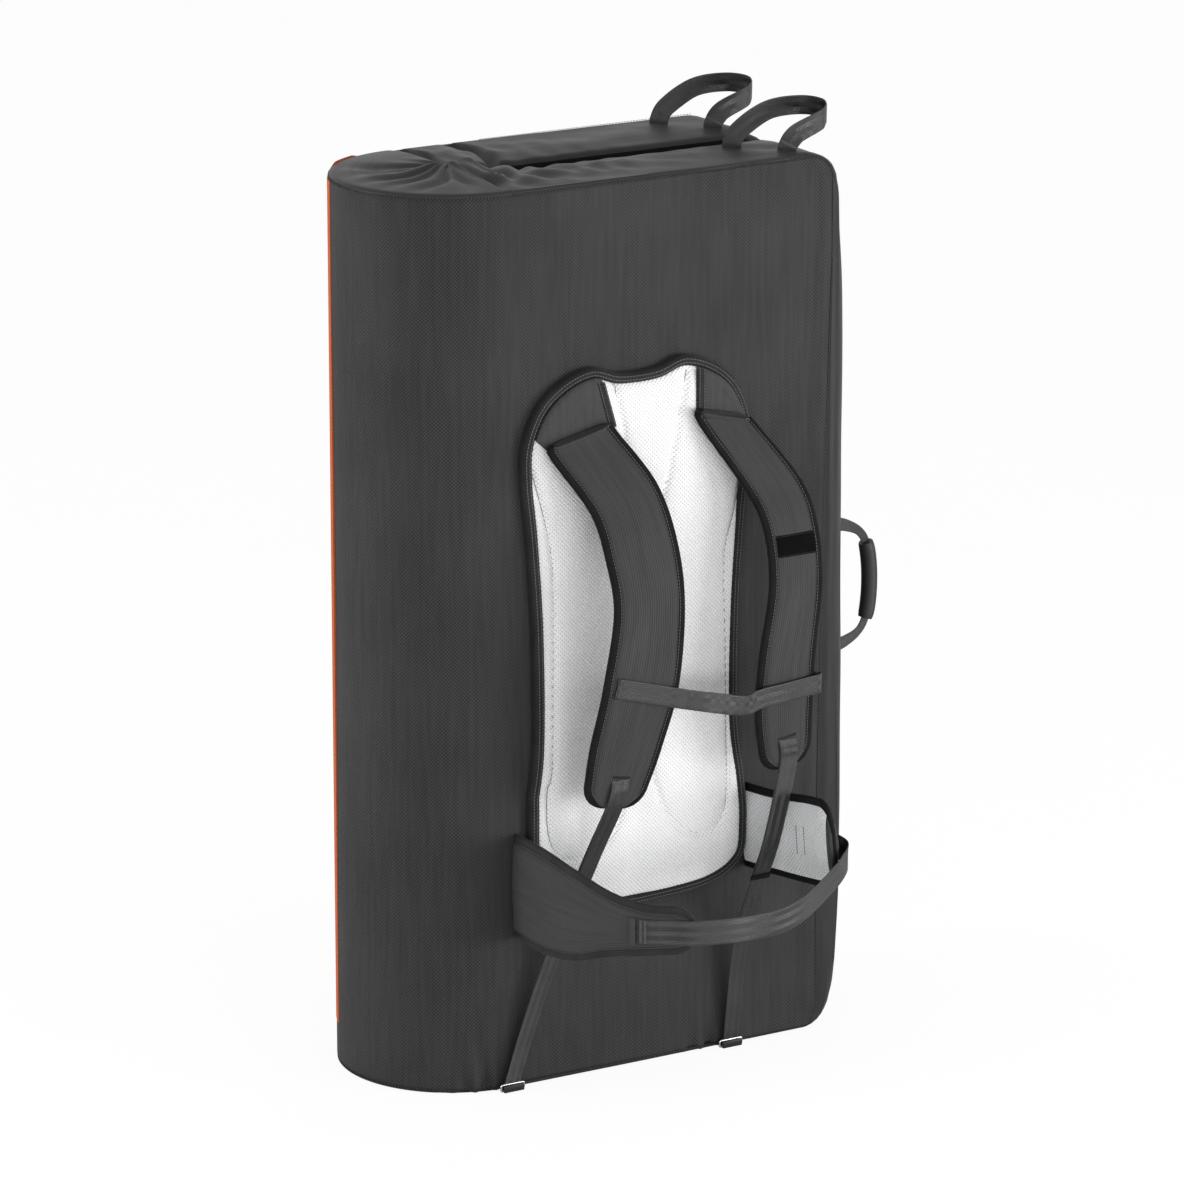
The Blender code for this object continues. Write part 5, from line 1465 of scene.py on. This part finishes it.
# Side handle
# Webbing sewn to the open edge, folded narrow between its ends, with a soft moulded grip on it.
HANDLE = [(0.0, 1.0), (0.55, 0.92), (0.90, 0.66), (1.0, 0.0)]
HANDLE_EDGE, HANDLE_Y, HANDLE_LEVEL = OPEN_X + 0.0006, FACE + DEPTH / 2, 0.577
shares = HANDLE + [(out, -up) for out, up in HANDLE[-2::-1]]
path = smooth_path([(HANDLE_EDGE + out * 0.082, HANDLE_Y, HANDLE_LEVEL + up * 0.085)
                    for out, up in shares], 16)
plain = stations_along(path, UPRIGHT, square=False)
sides, widths = [], []
for (centre, along, side, out), place in zip(plain, path):
    sides.append(along.cross(Vector((0, 1, 0))))
    widths.append(0.025 + (0.0115 - 0.025) * min(1.0, (place[0] - HANDLE_EDGE) / (0.082 * 0.8)))
sides[0], sides[-1] = Vector((0, 0, 1)), Vector((0, 0, -1))
stations = stations_along(path, sides, square=False)
piece = ribbon("side_handle_webbing_run", stations, 0.025, webbing, widths=widths, thick=0.0022)
dress(piece, "side_handle", "dark_webbing", "side_handle_webbing")
rubber = plain_material("soft_black_rubber", "#121213", "#1d1d1e", 260.0, 0.55, bump=0.2)
inside = [place for place in path if abs(place[2] - HANDLE_LEVEL) <= 0.0525]
inside = [Vector(inside[0]) + (Vector(inside[0]) - Vector(inside[1])) * 0.5] + [Vector(p) for p in inside]
radii = [0.0115 - 0.0016 * math.exp(-k / 1.5) - 0.0016 * math.exp(-(len(inside) - 1 - k) / 1.5)
         for k in range(len(inside))]
rings = []
for k, (centre, along, side, out) in enumerate(stations_along(inside, ACROSS_X)):
    ring = []
    for step in range(24):
        angle = 2 * math.pi * step / 24
        round_off = radii[k] * (1.0 + 0.03 * math.cos(4 * angle))
        ring.append(centre + side * (round_off * math.cos(angle) * 0.92)
                    + out * (round_off * math.sin(angle)))
    rings.append(ring)
piece = skin_of("side_handle_soft_grip", rings, rubber)
dress(piece, "side_handle", "soft_black_grip", "side_handle_grip")
for end, sign, mark in ((0, 1, "top"), (-1, -1, "bottom")):
    c, a, s, o = stations[end]
    sewn_across(f"side_handle_bartack_{mark}", "side_handle", c + a * 0.006 * sign - o * 0.0013 * sign, s,
                0.0105, 12, o * -sign, spacing=0.0013, length=0.0034, turn=math.pi / 2, thread=grey_thread)


# Zip
# Coil zip down the far half's open end, through which the foam goes in; black tape, coil and slider.
ZIP_X, ZIP_Y, ZIP_LOW, ZIP_HIGH = OPEN_X + 0.0002, FOLD_Y + OUTER - DEPTH / 2, 0.185, 0.985
zip_tape = tape_material("zip_tape", "#111112", "#1e1e1f", 0.0014, 0.7, 0.2, bump=0.3)
line = [(ZIP_X + 0.0008, ZIP_Y, z) for z in np.linspace(ZIP_LOW, ZIP_HIGH, 40)]
piece = ribbon("zip_tape_run", stations_along(line, Vector((0, 1, 0))), 0.022, zip_tape, thick=0.0014)
dress(piece, "far_half", "black_binding", "zip_chain")
coil = plain_material("nylon_coil", "#151516", "#242425", 500.0, 0.4)
for number, shift in enumerate((-0.0016, 0.0016)):
    spots = [Vector((ZIP_X + 0.0018, ZIP_Y + shift, z))
             for z in np.linspace(ZIP_LOW + 0.004, ZIP_HIGH - 0.002, 40)]
    stitch_row(f"zip_coil_{number + 1}", "far_half", spots, ACROSS_X, spacing=0.0022, length=0.0036,
               radius=0.0007, turn=math.pi / 2 + (0.25 if number else -0.25), thread=coil)
for number, shift in enumerate((-0.0078, 0.0078)):
    spots = [Vector((ZIP_X + 0.0016, ZIP_Y + shift, z)) for z in np.linspace(ZIP_LOW, ZIP_HIGH, 40)]
    stitch_row(f"zip_stitches_{number + 1}", "far_half", spots, ACROSS_X, spacing=0.0042)
slider = block("zip_slider_body", (ZIP_X + 0.0022, ZIP_Y - 0.005, ZIP_LOW),
               (ZIP_X + 0.0058, ZIP_Y + 0.005, ZIP_LOW + 0.0155), 0.0014,
               coated_steel)
dress(slider, "zip", "black_coated_steel", "zip_slider")
pull = block("zip_pull", (ZIP_X + 0.0056, ZIP_Y - 0.0032, ZIP_LOW - 0.024),
             (ZIP_X + 0.0074, ZIP_Y + 0.0032, ZIP_LOW + 0.010), 0.0008,
             coated_steel)
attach(pull, "zip")


low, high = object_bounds()
{"cad": [list(cad_box[0]), list(cad_box[1])], "visual": [list(low), list(high)]}
